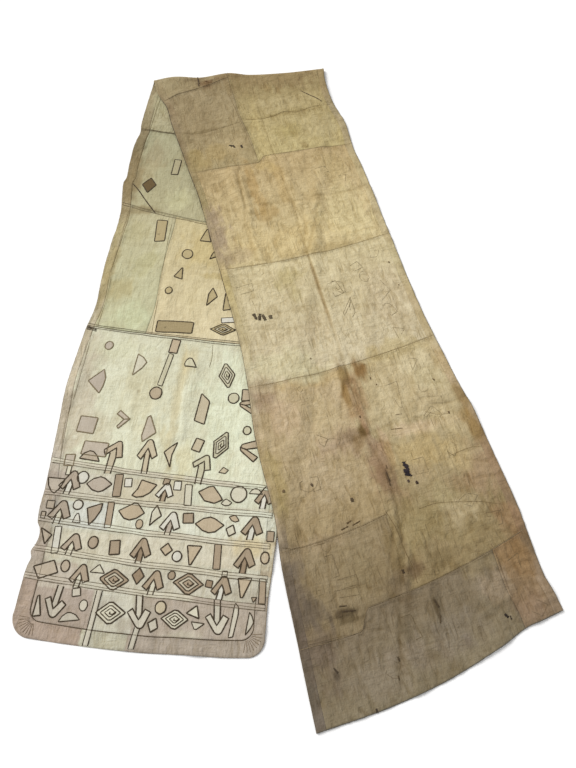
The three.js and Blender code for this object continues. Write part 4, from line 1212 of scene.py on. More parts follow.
# The pleated binding of the rear end

BINDING_STEPS = np.array([0.0, 0.05, 0.1, 0.2, 0.35, 0.5, 0.65, 0.8, 0.9, 0.95, 1.0])
BINDING_MOTTLE = (0.06, (40, 30), 21)
# The binding's pleats are painted shade in its tint, not folds of its sheet
PLEAT_PITCH = 13.0
PLEAT_SHADE = 0.16
PLEAT_AT_FIELD = 0.4
PLEAT_STRAY = 0.8
BINDING_CELLS = table(
    "from_across to_across tint",
    (-400, -196, "b3a190"), (-196, -72, "c6c2ac"), (-72, 310, "b0a494"),
)


def make_binding():
    outer = binding_outer_line()
    inner = binding_inner_line()
    grid = lerp(inner[:, None], outer[:, None], BINDING_STEPS[None, :, None])
    along, across = grid[..., 0], grid[..., 1]
    mottle = 1 + lumps(along, across, BINDING_MOTTLE)
    tints = np.zeros(grid.shape[:2] + (3,))
    for cell in BINDING_CELLS:
        inside = (across > cell["from_across"]) & (across <= cell["to_across"])
        tints[inside] = (linear(cell["tint"]) * mottle[..., None])[inside]
    run = np.r_[0, np.cumsum(np.hypot(*np.diff(outer, axis=0).T))]
    # painted shade between the pleats: the tint darkens in each pleat's fold, more towards the outer edge
    pleats = np.abs(np.sin(math.pi * run / PLEAT_PITCH + PLEAT_STRAY * noise(run, run, (30, 30), 22)))
    depth = 1 - PLEAT_SHADE * (1 - pleats)[:, None] * lerp(PLEAT_AT_FIELD, 1.0, BINDING_STEPS)[None]
    tints = tints * depth[..., None]
    sheet = thin_sheet("end_binding_cloth", along, across, -1, tints.reshape(-1, 3), BORDER_RAFFIA,
                       ("first_column", "last_column"))
    declare_cloth(sheet, "end_binding", along, across, HELD[-1])
    cloth_pieces[sheet.name]["flat"] = (BINDING_WIDTH * MM, float(run[-1]) * MM)
    cloth_pieces[sheet.name]["area"] = None


make_binding()


# Sewn work: patches, tapes and threads that follow the cloth. Lifts are millimetres off the surface.

PATCH_ROOT = -0.5
PATCH_ROUND = 1.3
PATCH_RING = 9
PATCH_SIDE = 0.6
PATCH_TOP = 0.85
PATCH_SHADES = 0.05
THREAD_ROOT = -0.4
THREAD_SHOULDER = 0.36
SHOULDER_HEIGHT = 0.7
TAPE_ROUND = 1.2
TAPE_SIDE = 0.5
TAPE_MIDDLE = 0.9


class Sewn:
    """One piece of sewn work. Its vertices are places on the cloth with a lift off its surface."""

    def __init__(self, name, side):
        self.name = name
        self.side = side
        self.places = []
        self.tints = []
        self.faces = []
        self.rng = np.random.default_rng(sum(ord(letter) for letter in name))

    def add(self, along, across, lift, tint, faces):
        start = sum(len(block) for block in self.places)
        self.places.append(np.c_[along, across, lift])
        self.tints.append(np.broadcast_to(tint, (len(along), 3)))
        for face in faces:
            corners = [start + corner for corner in face]
            self.faces.append(corners if self.side < 0 else corners[::-1])

    def sweep(self, line, section, tint, closed=False, uneven=0.0, sink=0.0):
        """A strand along a line: its section is places across it, each with a lift."""
        line = np.asarray(line, float)
        ahead = np.roll(line, -1, axis=0) - line
        behind = line - np.roll(line, 1, axis=0)
        if not closed:
            ahead[-1] = behind[-1]
            behind[0] = ahead[0]
        run = ahead / np.linalg.norm(ahead, axis=1, keepdims=True)
        run = run + behind / np.linalg.norm(behind, axis=1, keepdims=True)
        run /= np.maximum(np.linalg.norm(run, axis=1, keepdims=True), 1e-6)
        beside = np.c_[-run[:, 1], run[:, 0]]
        size = 1 + uneven * self.rng.uniform(-1, 1, len(line))
        section = np.asarray(section, float)
        width, corners = section[:, 0], len(section)
        along = line[:, :1] + beside[:, :1] * width * size[:, None]
        across = line[:, 1:] + beside[:, 1:] * width * size[:, None]
        lift = np.broadcast_to(section[:, 1], along.shape) * size[:, None] - sink
        faces = []
        count = len(line)
        for i in range(count if closed else count - 1):
            here, there = i * corners, (i + 1) % count * corners
            for j in range(corners):
                k = (j + 1) % corners
                faces.append((here + j, here + k, there + k, there + j))
        if not closed:
            faces.append(tuple(range(corners))[::-1])
            faces.append(tuple((count - 1) * corners + j for j in range(corners)))
        self.add(along.ravel(), across.ravel(), lift.ravel(), tint, faces)

    def patch(self, outline, tint, height):
        """A filled shape with rounded edges over a convex outline."""
        outline = np.asarray(outline, float)
        centre = outline.mean(0)
        reach = float(np.max(np.linalg.norm(outline - centre, axis=1)))
        inset = 1 - PATCH_ROUND / reach
        rings = max(1, round(reach / PATCH_RING))
        levels = [(1.0, PATCH_ROOT), (1.0, height * PATCH_SIDE), (inset, height)]
        levels += [(inset * (1 - step / (rings + 1)), height * PATCH_TOP) for step in range(1, rings + 1)]
        count = len(outline)
        places, lifts, faces = [], [], []
        for scale, lift in levels:
            places.append(centre + (outline - centre) * scale)
            lifts.append(np.full(count, lift))
        for level in range(len(levels) - 1):
            low, high = level * count, (level + 1) * count
            for i in range(count):
                j = (i + 1) % count
                faces.append((low + i, low + j, high + j, high + i))
        top = (len(levels) - 1) * count
        middle = len(levels) * count
        faces += [(top + i, top + (i + 1) % count, middle) for i in range(count)]
        faces.append(tuple(range(count))[::-1])
        places.append(centre[None])
        lifts.append(np.array([height * PATCH_TOP]))
        places = np.concatenate(places)
        shade = 1 + PATCH_SHADES * self.rng.uniform(-1, 1)
        tint = np.clip(tint * shade, 0, 1)
        self.add(places[:, 0], places[:, 1], np.concatenate(lifts), tint, faces)

    def finish(self, material, on):
        """Lays the work on the cloth, and says which sheet it goes with."""
        places = np.concatenate(self.places)
        along, across, lift = places.T
        middle = middle_at(along, across)
        up = self.side * back_normal(along, across)
        vertices = (middle + up * (THICKNESS / 2 + lift)[:, None]) * MM
        uvs = np.c_[across, along] * MM
        piece = new_object(self.name, vertices, self.faces, material, np.concatenate(self.tints), uvs)
        cloth_pieces[on]["with_pieces"].append(piece)
        return piece


def thread_section(width, height):
    half, shoulder = width / 2, width * THREAD_SHOULDER
    return ((-half, THREAD_ROOT), (-shoulder, height * SHOULDER_HEIGHT), (0, height),
            (shoulder, height * SHOULDER_HEIGHT), (half, THREAD_ROOT))


def tape_section(width, height):
    half, flat, side = width / 2, width / 2 - TAPE_ROUND, height * TAPE_SIDE
    return ((-half, THREAD_ROOT), (-half, side), (-flat, height), (0, height * TAPE_MIDDLE),
            (flat, height), (half, side), (half, THREAD_ROOT))


def drawn(places, step=5.0, closed=False, curve=False):
    """Places along a line a step apart. A curve passes smoothly through its places."""
    places = np.asarray(places, float)
    if closed:
        places = np.r_[places, places[:1]]
    run = np.r_[0, np.cumsum(np.linalg.norm(np.diff(places, axis=0), axis=1))]
    if curve and len(places) > 2:
        rows = [{"run": r, "along": a, "across": c} for r, (a, c) in zip(run, places)]
        at = np.linspace(0, run[-1], max(3, round(run[-1] / step) + 1))
        return np.c_[read(rows, "run", "along", at), read(rows, "run", "across", at)]
    stops = []
    for start, stop, low, high in zip(places[:-1], places[1:], run[:-1], run[1:]):
        count = max(1, round((high - low) / step))
        stops += [lerp(start, stop, i / count) for i in range(count)]
    if not closed:
        stops.append(places[-1])
    return np.array(stops)


# The vocabulary of motifs, each on a square from -1 to 1, first across and then along

def polygon(*corners):
    return np.array(corners, float)


def ellipse(steps=18):
    angle = np.linspace(0, 2 * math.pi, steps, endpoint=False)
    return np.c_[np.cos(angle), np.sin(angle)]


def softened(outline, share):
    """An outline with each corner cut to a short round."""
    before, after = np.roll(outline, 1, axis=0), np.roll(outline, -1, axis=0)
    return np.stack([lerp(outline, before, share), lerp(outline, after, share)], axis=1).reshape(-1, 2)


RECT = polygon((-1, -1), (1, -1), (1, 1), (-1, 1))
SHAPES = {
    "rect": [RECT],
    "bar": [RECT],
    "circle": [ellipse()],
    "diamond": [polygon((0, -1), (1, 0), (0.1, 1), (-1, 0.1))],
    "tilt": [polygon((-0.3, -1), (1, -0.4), (0.4, 1), (-1, 0.3))],
    "lozenge": [polygon((-0.5, -0.75), (0, -1), (0.4, -0.8), (1, 0.05), (0.35, 0.8), (0, 1), (-0.5, 0.7),
                        (-1, 0))],
    "gem": [polygon((-1, 0), (0.1, 1), (0.35, 0.95), (1, -0.05), (0.4, -0.75), (-0.1, -1), (-0.5, -0.8))],
    "leaf": [polygon((0.35, -1), (1, -0.5), (0.85, -0.1), (0.2, 1), (-0.2, 0.95), (-1, 0.2),
                     (-0.4, -0.75))],
    "kite": [polygon((-0.6, -1), (0.1, -0.5), (1, 0), (0.1, 1), (-0.55, 0.3))],
    "shield": [polygon((-0.3, -1), (0.4, -0.4), (0.95, 0.4), (1, 1), (-1, 0.5), (-0.7, -0.1))],
    "dshape": [polygon((-0.9, -1), (0.4, -0.35), (1, 0.1), (0.5, 0.6), (-0.3, 1), (-0.6, 0.2))],
    "drop": [polygon((-0.9, -0.75), (1, -1), (0.5, 0.1), (0.1, 0.85), (-0.3, 1), (-0.8, 0.5), (-1, -0.2))],
    "sliver": [polygon((-1, -0.7), (0.4, -1), (1, 0.1), (-0.1, 1))],
    "triangle": [polygon((-1, -0.9), (0.9, -1), (0.1, 1), (-0.1, 0.9))],
    "slim": [polygon((-0.6, -1), (0.9, -0.9), (-0.2, 1), (-0.5, 0.9))],
    "invtriangle": [polygon((-0.3, -1), (0, -1), (1, 0.95), (-1, 0.8))],
    "halfmoon": [polygon((-1, -0.9), (1, -1), (0.6, 0.2), (0.15, 0.9), (-0.2, 0.95), (-0.65, 0.3))],
    "halfround": [polygon((-1, 1), (-0.8, 0), (-0.2, -0.8), (0.2, -1), (0.6, -0.5), (1, 0.95))],
    "halflens": [polygon((0.1, -1), (0.25, 0), (1, 1), (-0.2, 0.6), (-0.9, 0.2), (-0.4, -0.4))],
    "slant": [polygon((-0.9, -0.95), (0.8, -1), (1, 0.92), (-0.7, 1))],
    "fan": [polygon((0.6, -1), (0.9, -0.4), (1, 0.25), (0.62, 1), (0.4, 0.85), (-1, 0))],
    "cutbar": [polygon((-1, -0.8), (0.42, -1), (1, 0.4), (0.85, 0.55), (-0.22, 1))],
    "tall": [polygon((-0.9, -1), (1, -0.42), (0.3, 1), (-0.05, 0.9), (-1, -0.5))],
    "leaning": [polygon((-1, -1), (0.1, -0.95), (1, 0.4), (0.9, 0.8), (0.1, 1), (-0.1, 0.95))],
    "skew": [polygon((-0.45, -1), (1, -0.25), (0.5, 1), (-1, 0.2))],
    "tipped": [polygon((0.2, -1), (1, 0.2), (-1, 1))],
    "wing": [polygon((-1, -0.8), (-0.6, -1), (0, -0.9), (0.5, -0.4), (1, 0.5), (-0.35, 1), (-0.6, 0))],
    "chevron": [
        polygon((-1, 0.62), (-0.5, 1), (1, 0.06), (0.1, 0.0)),
        polygon((1, 0.06), (-0.62, -1), (-0.86, -0.72), (0.1, 0.0)),
    ],
    "leftarrow": [
        polygon((0.86, 1), (1, 0.34), (-0.3, -0.04), (-1, 0.06), (-0.86, 0.36)),
        polygon((-1, 0.06), (-0.3, -0.04), (0.95, -0.5), (0.62, -1), (-0.86, -0.24)),
    ],
}
# An arrow: two arms that meet in a mitred point, over a shaft that runs down from between them. Both arms
# start at the point, and the outline of its head runs round them together.
ARROW_LEFT_ARM = polygon((0.22, 1), (0.06, 0.98), (-0.08, 0.86), (-1, -0.32), (-0.55, -0.6), (0.02, 0.3))
ARROW_RIGHT_ARM = polygon((0.22, 1), (0.02, 0.3), (0.45, -0.58), (1, -0.32), (0.52, 0.82), (0.38, 0.96))
ARROW_HEAD = np.r_[ARROW_LEFT_ARM, ARROW_RIGHT_ARM[2:]]
ARROW_SHAFT = polygon((-0.42, -1), (0.12, -1), (0.24, -0.1), (0.02, 0.3), (-0.22, -0.1))
ARROW_SHAFT_SIDES = [polygon((-0.42, -1), (-0.26, -0.24)), polygon((0.12, -1), (0.26, -0.16))]
# A hooked arrow has a flat left arm and a right arm that hangs down
HOOKED_LEFT_ARM = polygon((0.42, 1), (0.24, 0.98), (-1, 0.42), (-0.82, 0.12), (0.18, 0.58))
HOOKED_RIGHT_ARM = polygon((0.42, 1), (0.18, 0.58), (0.3, -0.04), (0.88, 0.02), (0.68, 0.8), (0.58, 0.96))
HOOKED_HEAD = np.r_[HOOKED_LEFT_ARM, HOOKED_RIGHT_ARM[2:]]
HOOKED_SHAFT = polygon((-0.5, -1), (0.08, -1), (0.26, 0.0), (0.18, 0.58), (-0.36, 0.28))
HOOKED_SHAFT_SIDES = [polygon((-0.5, -1), (-0.36, 0.26)), polygon((0.08, -1), (0.28, -0.04))]
# A long arrow has short arms at the top of a long shaft
LONG_LEFT_ARM = polygon((0.2, 1), (0.04, 0.98), (-0.12, 0.9), (-1, 0.06), (-0.6, -0.16), (0.04, 0.5))
LONG_RIGHT_ARM = polygon((0.2, 1), (0.04, 0.5), (0.5, -0.14), (1, 0.04), (0.5, 0.88), (0.36, 0.98))
LONG_HEAD = np.r_[LONG_LEFT_ARM, LONG_RIGHT_ARM[2:]]
LONG_SHAFT = polygon((-0.4, -1), (0.14, -1), (0.26, 0.14), (0.04, 0.5), (-0.22, 0.18))
LONG_SHAFT_SIDES = [polygon((-0.4, -1), (-0.24, 0.16)), polygon((0.14, -1), (0.26, 0.14))]
LONG_ARROW = (LONG_SHAFT, LONG_SHAFT_SIDES, (LONG_LEFT_ARM, LONG_RIGHT_ARM), LONG_HEAD)
ARROWS = {
    "arrow": (ARROW_SHAFT, ARROW_SHAFT_SIDES, (ARROW_LEFT_ARM, ARROW_RIGHT_ARM), ARROW_HEAD),
    "downarrow": LONG_ARROW,
    "hooked": (HOOKED_SHAFT, HOOKED_SHAFT_SIDES, (HOOKED_LEFT_ARM, HOOKED_RIGHT_ARM), HOOKED_HEAD),
    "longarrow": LONG_ARROW,
}
SPIRAL_SHAPE = polygon((-1, 0.04), (-0.9, -0.08), (-0.14, -0.97), (0.12, -1), (0.92, -0.1), (1, 0.02),
                       (0.9, 0.12), (0.14, 0.97), (-0.12, 1), (-0.92, 0.14))
SPIRAL_RINGS = (0.68, 0.38)
SPIRAL_CURL = polygon((0.38, 0.1), (0.16, -0.16), (-0.06, -0.1), (-0.02, 0.1))
SPIRAL_CONTRAST = 0.55
SPIRAL_RISE = 0.3
CURL_RISE = 0.4

MOTIF_COLUMNS = "group kind along across width height turn tone shaft"


def motifs_of(group, *rows):
    return table(MOTIF_COLUMNS, *[(group,) + row for row in rows])


# The chart of applied motifs: kind, place, width, height, turn in degrees and tone, and the tone of an
# arrow's shaft
MOTIFS = [
    *motifs_of(
        "top",
        ("slant", -566, -198, 32, 84, 0, "sand"), ("diamond", -667, -289, 54, 78, 0, "umber"),
    ),
    *motifs_of(
        "middle",
        ("rect", -893, -206, 38, 100, -3, "straw"), ("circle", -998, -92, 38, 42, 0, "straw"),
        ("triangle", -1084, -106, 32, 50, 10, "straw"), ("circle", -1164, -134, 24, 28, 0, "straw"),
        ("kite", -1178, 17, 40, 76, 0, "straw"), ("triangle", -905, -34, 42, 60, 0, "straw"),
        ("kite", -995, 6, 34, 44, 14, "straw"), ("slim", -1196, 74, 34, 72, 0, "straw"),
        ("bar", -1310, -92, 124, 44, 0, "ochre"), ("bar", -1272, 88, 50, 20, -4, "white"),
        ("spiral", -1310, 72, 84, 42, 0, "straw"),
    ),
    *motifs_of(
        "field",
        ("circle", -1394, -298, 27, 30, 0, "faint"), ("dshape", -1458, -184, 46, 78, -6, "pale"),
        ("fan", -1527, -312, 54, 88, 0, "greytan"), ("rect", -1386, -80, 28, 52, 6, "tan"),
        ("bar", -1474, -96, 16, 118, 10, "cream"), ("circle", -1560, -114, 38, 42, 0, "tan"),
        ("drop", -1445, -17, 40, 34, 0, "cream"), ("spiral", -1484, 105, 50, 86, -12, "cream"),
        ("cutbar", -1606, 40, 44, 104, -4, "wheat"), ("circle", -1564, 135, 34, 36, 0, "cream"),
        ("bar", -1552, 176, 30, 40, 0, "tan"), ("leftarrow", -1588, 182, 52, 54, 6, "tan"),
        ("rect", -1680, -309, 54, 52, 4, "faint"), ("chevron", -1655, -201, 42, 60, -4, "faint"),
        ("tall", -1680, -117, 44, 84, -10, "faint"), ("rect", -1728, 43, 26, 40, 16, "wheat"),
        ("spiral", -1722, 113, 50, 90, 20, "cream"), ("halflens", -1764, -37, 40, 76, -4, "wheat"),
        ("rect", -1757, -268, 76, 44, 4, "faint"), ("halfmoon", -1779, -276, 62, 30, 4, "tan"),
        ("hooked", -1780, -208, 62, 104, 0, "tan", "wheat"),
        ("longarrow", -1772, -106, 60, 108, -4, "wheat", "wheat"),
        ("hooked", -1804, 64, 58, 92, 0, "cream", "cream"), ("leftarrow", -1734, 202, 60, 74, 8, "tan"),
        ("sliver", -1802, 130, 28, 19, 0, "wheat"), ("circle", -1672, 188, 24, 27, 0, "cream"),
        ("rect", -1797, -336, 28, 36, -2, "faint"),
    ),
    *motifs_of(
        "end",
        ("rect", -1828, -331, 13, 30, 0, "pale"), ("halfround", -1878, -360, 50, 46, 0, "faint"),
        ("arrow", -1866, -318, 62, 72, 0, "brown", "white"), ("circle", -1848, -284, 33, 36, 0, "white"),
        ("lozenge", -1866, -232, 76, 46, -2, "greytan"), ("bar", -1866, -176, 23, 68, -2, "brown"),
        ("rect", -1856, -147, 21, 25, -4, "white"), ("wing", -1872, -96, 68, 52, 0, "tan"),
        ("rect", -1848, -34, 18, 18, 12, "brown"), ("arrow", -1880, -35, 52, 54, 0, "white", "brown"),
        ("rect", -1859, 0, 21, 26, 0, "white"), ("bar", -1885, 35, 20, 62, -4, "pale"),
        ("leaf", -1878, 100, 72, 50, 0, "tan"), ("leaf", -1899, 148, 30, 20, -20, "pale"),
        ("circle", -1873, 182, 46, 48, 0, "pale"), ("halfmoon", -1862, 232, 40, 17, 0, "pale"),
        ("arrow", -1880, 258, 56, 66, 0, "brown", "white"), ("rect", -1935, -358, 21, 22, 0, "tan"),
        ("rect", -1966, -372, 12, 18, 0, "tan"), ("arrow", -1955, -328, 64, 68, -2, "brown", "pale"),
        ("circle", -1930, -280, 28, 28, 0, "white"), ("halfmoon", -1968, -274, 22, 28, 0, "white"),
        ("shield", -1955, -230, 42, 64, 0, "brown"), ("bar", -1953, -183, 18, 76, -2, "brown"),
        ("gem", -1941, -121, 76, 50, 0, "tan"), ("circle", -1975, -93, 20, 26, 0, "tan"),
        ("kite", -1948, -52, 36, 58, 0, "pale"), ("arrow", -1970, -5, 58, 66, 0, "white", "greytan"),
        ("rect", -1952, 45, 29, 28, -6, "brown"), ("lozenge", -1966, 108, 80, 46, 0, "tan"),
        ("leaf", -1944, 176, 30, 18, 8, "tan"), ("tilt", -1979, 170, 28, 32, 0, "pale"),
        ("arrow", -1970, 230, 62, 66, 0, "brown", "white"), ("rect", -1990, 284, 20, 28, 0, "brown"),
        ("tipped", -2024, -352, 34, 46, 0, "tan"), ("bar", -2032, -318, 19, 74, -5, "white"),
        ("arrow", -2043, -272, 60, 60, 0, "brown", "pale"), ("circle", -2034, -213, 28, 33, 0, "brown"),
        ("rect", -2044, -150, 28, 38, -6, "brown"),
        ("arrow", -2048, -76, 58, 68, -4, "brown", "darkbrown"), ("tilt", -2042, -4, 32, 32, -14, "tan"),
        ("circle", -2060, 28, 26, 28, 0, "white"), ("invtriangle", -2052, 72, 40, 56, 4, "tan"),
        ("bar", -2052, 140, 19, 68, -2, "brown"), ("arrow", -2060, 217, 60, 66, -2, "brown", "darkbrown"),
        ("circle", -2050, 273, 24, 32, 0, "tan"), ("skew", -2114, -328, 68, 52, 0, "tan"),
        ("circle", -2102, -276, 24, 31, -8, "tan"), ("arrow", -2126, -231, 54, 62, 0, "brown", "pale"),
        ("triangle", -2104, -184, 42, 22, 0, "pale"), ("spiral", -2130, -135, 80, 54, 0, "brown"),
        ("diamond", -2116, -71, 34, 44, 0, "darkbrown"),
        ("arrow", -2132, -26, 58, 64, 0, "brown", "pale"), ("circle", -2111, 21, 20, 22, 0, "brown"),
        ("spiral", -2130, 70, 82, 54, 0, "brown"), ("rect", -2126, 126, 17, 18, 6, "darkbrown"),
        ("arrow", -2134, 161, 56, 62, 0, "brown", "white"), ("rect", -2098, 166, 14, 16, 0, "pale"),
        ("invtriangle", -2130, 222, 38, 54, 4, "tan"), ("invtriangle", -2160, 252, 14, 12, 0, "brown"),
        ("bar", -2138, 273, 18, 64, -2, "brown"), ("slim", -2208, -325, 28, 54, 0, "bone"),
        ("downarrow", -2194, -280, 60, 80, 12, "bone", "bone"),
        ("rect", -2168, -230, 22, 20, -12, "bone"), ("halfmoon", -2230, -236, 56, 22, -10, "bone"),
        ("circle", -2200, -204, 22, 28, 0, "bone"), ("spiral", -2214, -128, 80, 54, -4, "pale"),
        ("downarrow", -2206, -52, 62, 84, -2, "bone", "bone"), ("tilt", -2238, -10, 28, 34, 0, "bone"),
        ("circle", -2194, 4, 29, 32, 0, "wheat"), ("spiral", -2222, 46, 72, 46, 0, "pale"),
        ("triangle", -2198, 97, 38, 28, 14, "pale"), ("invtriangle", -2234, 108, 36, 18, 6, "bone"),
        ("downarrow", -2208, 158, 62, 84, 0, "bone", "bone"), ("leaning", -2214, 203, 20, 84, 0, "bone"),
        ("dshape", -2220, 246, 20, 56, 0, "bone"),
    ),
]
PATCH_HEIGHT = 0.7
OUTLINE = thread_section(width=4.4, height=1.4)
FINE_OUTLINE = thread_section(width=3.3, height=1.2)
HAND_WOBBLE = 0.035
WORN_LEFT = -110
SMALL_MOTIF = 24
OUTLINE_UNEVEN = 0.14
CORNER_ROUND = 0.04
SHAFT_WOBBLE = 1.5 * HAND_WOBBLE


def placed(outline, motif):
    """A motif's outline on the cloth, turned to its slant."""
    turn = math.radians(motif["turn"])
    across = outline[:, 0] * motif["width"] / 2
    along = outline[:, 1] * motif["height"] / 2
    return np.c_[motif["along"] + along * math.cos(turn) - across * math.sin(turn),
                 motif["across"] + across * math.cos(turn) + along * math.sin(turn)]


def outline_of(motif):
    """The thread round a motif: finer round a small one, and paler round a worn one at the field's left."""
    small = min(motif["width"], motif["height"]) < SMALL_MOTIF
    worn = motif["group"] == "field" and motif["across"] < WORN_LEFT and motif["tone"] != "tan"
    return FINE_OUTLINE if small else OUTLINE, linear(PALE_INK if worn else INK)


def stitched(threads, line, motif, closed=True):
    section, ink = outline_of(motif)
    threads.sweep(line, section, ink, closed=closed, uneven=OUTLINE_UNEVEN, sink=-PATCH_HEIGHT * 0.35)


FADED = linear("b9ae9f")
FADED_SHARE = 0.55
FADED_FROM_TO = (150, 330)


def tone_of(motif, key):
    """A motif's tone, which is greyer and paler towards the left edge of the end and the field."""
    share = FADED_SHARE * float(smoothstep(-motif["across"], *FADED_FROM_TO))
    kept = motif[key] in PALE_TONES or motif["group"] in ("top", "middle")
    return lerp(linear(TONES[motif[key]]), FADED, 0 if kept else share)


def work_arrow(patches, threads, motif, rng):
    up = np.array([1, -1 if motif["kind"] == "downarrow" else 1])
    shaft, shaft_sides, arms, head = ARROWS[motif["kind"]]

    def wobble(shape):
        return shape + rng.uniform(-SHAFT_WOBBLE, SHAFT_WOBBLE, 2)

    patches.patch(drawn(placed(wobble(shaft) * up, motif), closed=True), tone_of(motif, "shaft"),
                  PATCH_HEIGHT * 0.8)
    for side in shaft_sides:
        stitched(threads, drawn(placed(side * up, motif)), motif, closed=False)
    for arm in arms:
        patches.patch(drawn(placed(arm * up, motif), closed=True), tone_of(motif, "tone"), PATCH_HEIGHT)
    stitched(threads, drawn(placed(head * up, motif), closed=True), motif)


def work_spiral(patches, threads, motif, rng):
    """Rings within rings, brown and pale in turn, the inner ones joined in a short spiral."""
    shape = SPIRAL_SHAPE + rng.uniform(-HAND_WOBBLE, HAND_WOBBLE, SPIRAL_SHAPE.shape)
    other = lerp(tone_of(motif, "tone"), linear(TONES["pale"]), SPIRAL_CONTRAST)
    for number, share in enumerate((1.0,) + SPIRAL_RINGS):
        line = drawn(placed(shape * share, motif), step=4.0, closed=True)
        tone = other if number == 1 else tone_of(motif, "tone")
        patches.patch(line, tone, PATCH_HEIGHT + number * SPIRAL_RISE)
        if number == 0:
            stitched(threads, line, motif)
        else:
            threads.sweep(line, FINE_OUTLINE, linear(INK), closed=True, uneven=OUTLINE_UNEVEN,
                          sink=-PATCH_HEIGHT)
    threads.sweep(drawn(placed(SPIRAL_CURL, motif), step=3.0), FINE_OUTLINE, linear(INK),
                  uneven=OUTLINE_UNEVEN, sink=-PATCH_HEIGHT - CURL_RISE)


def work_motif(patches, threads, motif, rng):
    """Sews one motif: its patches, and the outlines round them."""
    kind = motif["kind"]
    if kind in ARROWS:
        work_arrow(patches, threads, motif, rng)
        return
    if kind == "spiral":
        work_spiral(patches, threads, motif, rng)
        return
    for shape in SHAPES[kind]:
        wobbly = shape + rng.uniform(-HAND_WOBBLE, HAND_WOBBLE, shape.shape)
        soft = wobbly if kind == "circle" else softened(wobbly, CORNER_ROUND)
        line = drawn(placed(soft, motif), closed=True)
        patches.patch(line, tone_of(motif, "tone"), PATCH_HEIGHT)
        stitched(threads, line, motif)


MOTIF_SEED = 40
GROUP_CLOTH = {"top": "rear_top_cloth", "middle": "rear_middle_cloth", "field": "rear_field_cloth",
               "end": "rear_end_cloth"}
for group, cloth in GROUP_CLOTH.items():
    patches = Sewn(f"rear_{group}_motifs", -1)
    threads = Sewn(f"rear_{group}_outlines", -1)
    rng = np.random.default_rng(len(group) + MOTIF_SEED)
    for motif in MOTIFS:
        if motif["group"] == group:
            work_motif(patches, threads, motif, rng)
    patches.finish(APPLIED_RAFFIA, cloth)
    threads.finish(STITCH_RAFFIA, cloth)


# Bands, seams and borders of the rear arm

BANDS = table(
    "name left right spacing on",
    ("band_1", -1800, -1853, 7.5, "rear_field_cloth"),
    ("band_2", -1898, -1930, 7.5, "rear_end_cloth"),
    ("band_3", -1975, -2018, 7.5, "rear_end_cloth"),
    ("band_4", -2058, -2106, 7.5, "rear_end_cloth"),
    ("band_5", -2132, -2180, 7.5, "rear_end_cloth"),
)
BAND_HEIGHT = 0.9
BAND_TINT = "cfc9b4"
BAND_INK = "685b44"
BAND_LEFT = -388
BAND_RIGHT = 285
BAND_INSET = 3
BAND_SAG = 4


def wavering(places, amount, seed):
    """A line that strays a little from side to side, as a hand-sewn one does."""
    places = np.array(places, float)
    run = np.r_[0, np.cumsum(np.linalg.norm(np.diff(places, axis=0), axis=1))]
    places[:, 0] += amount * noise(run, np.zeros_like(run), (45, 45), seed)
    places[:, 1] += amount * noise(run, np.full_like(run, 300.0), (45, 45), seed)
    return places


def band_line(band, offset):
    left = max(BAND_LEFT, float(left_edge(np.array(float(band["left"])))) + BAND_INSET)
    right = min(BAND_RIGHT, float(right_edge(np.array(float(band["right"])))) - BAND_INSET)
    start = (band["left"] + offset, left)
    middle = (lerp(band["left"], band["right"], 0.5) + offset - BAND_SAG, lerp(left, right, 0.5))
    stop = (band["right"] + offset, right)
    return wavering(drawn([start, middle, stop], curve=True), 1.1, -band["left"] + round(offset))


for band in BANDS:
    tape = Sewn(f"{band['name']}_tape", -1)
    line = band_line(band, 0)
    section = tape_section(2 * band["spacing"], BAND_HEIGHT)
    plain = np.broadcast_to(linear(BAND_TINT), (len(line), 3))
    tape.sweep(line, section, np.repeat(weathered_and_shaded(line[:, 0], line[:, 1], plain), len(section), axis=0))
    tape.finish(APPLIED_RAFFIA, band["on"])
    stitches = Sewn(f"{band['name']}_stitches", -1)
    for offset in (-band["spacing"], -0.6, band["spacing"]):
        stitches.sweep(band_line(band, offset), thread_section(width=1.7, height=1.1), linear(BAND_INK),
                       uneven=0.2, sink=-BAND_HEIGHT * 0.5)
    stitches.finish(STITCH_RAFFIA, band["on"])


SEAM_LENGTH = 640


def seam_line(seam, first, last, offset, amount, seed, pitch=6.0):
    """Places along a seam between two shares of the field's width."""
    shares = np.linspace(first, last, max(4, round((last - first) * SEAM_LENGTH / pitch)))
    along = line_at(seam, shares) + offset
    return wavering(np.c_[along, across_at(along, shares)], amount, seed)


def sew_line(row, side, line, height, uneven, sink):
    """One thread along a line, as a piece of its own. Its row gives its name, width, tint and sheet."""
    stitches = Sewn(row["name"], side)
    stitches.sweep(line, thread_section(row["width"], height), linear(row["tint"]), uneven=uneven, sink=sink)
    stitches.finish(STITCH_RAFFIA, row["on"])


REAR_SEAMS = table(
    "name seam first last offsets width tint on",
    ("rear_field_seam", "rearMiddle", -0.043, 1.04, (-7, 0.5, 7), 1.7, "5b4d38", "rear_field_cloth"),
    ("rear_top_seam", "rearTop", -0.043, 1.04, (-6, 5), 1.7, "6b5b41", "rear_top_cloth"),
    ("rear_hidden_seam", "rearHidden", -0.043, 0.95, (-1, 5), 1.8, "6a5a40", "rear_top_cloth"),
)
for number, seam in enumerate(REAR_SEAMS):
    stitches = Sewn(f"{seam['name']}_stitches", -1)
    for offset in seam["offsets"]:
        seed = number * 7 + int(offset) + 60
        line = seam_line(seam["seam"], seam["first"], seam["last"], offset, amount=1.3, seed=seed)
        stitches.sweep(line, thread_section(seam["width"], height=1.2), linear(seam["tint"]), uneven=0.2,
                       sink=-0.2)
    stitches.finish(STITCH_RAFFIA, seam["on"])

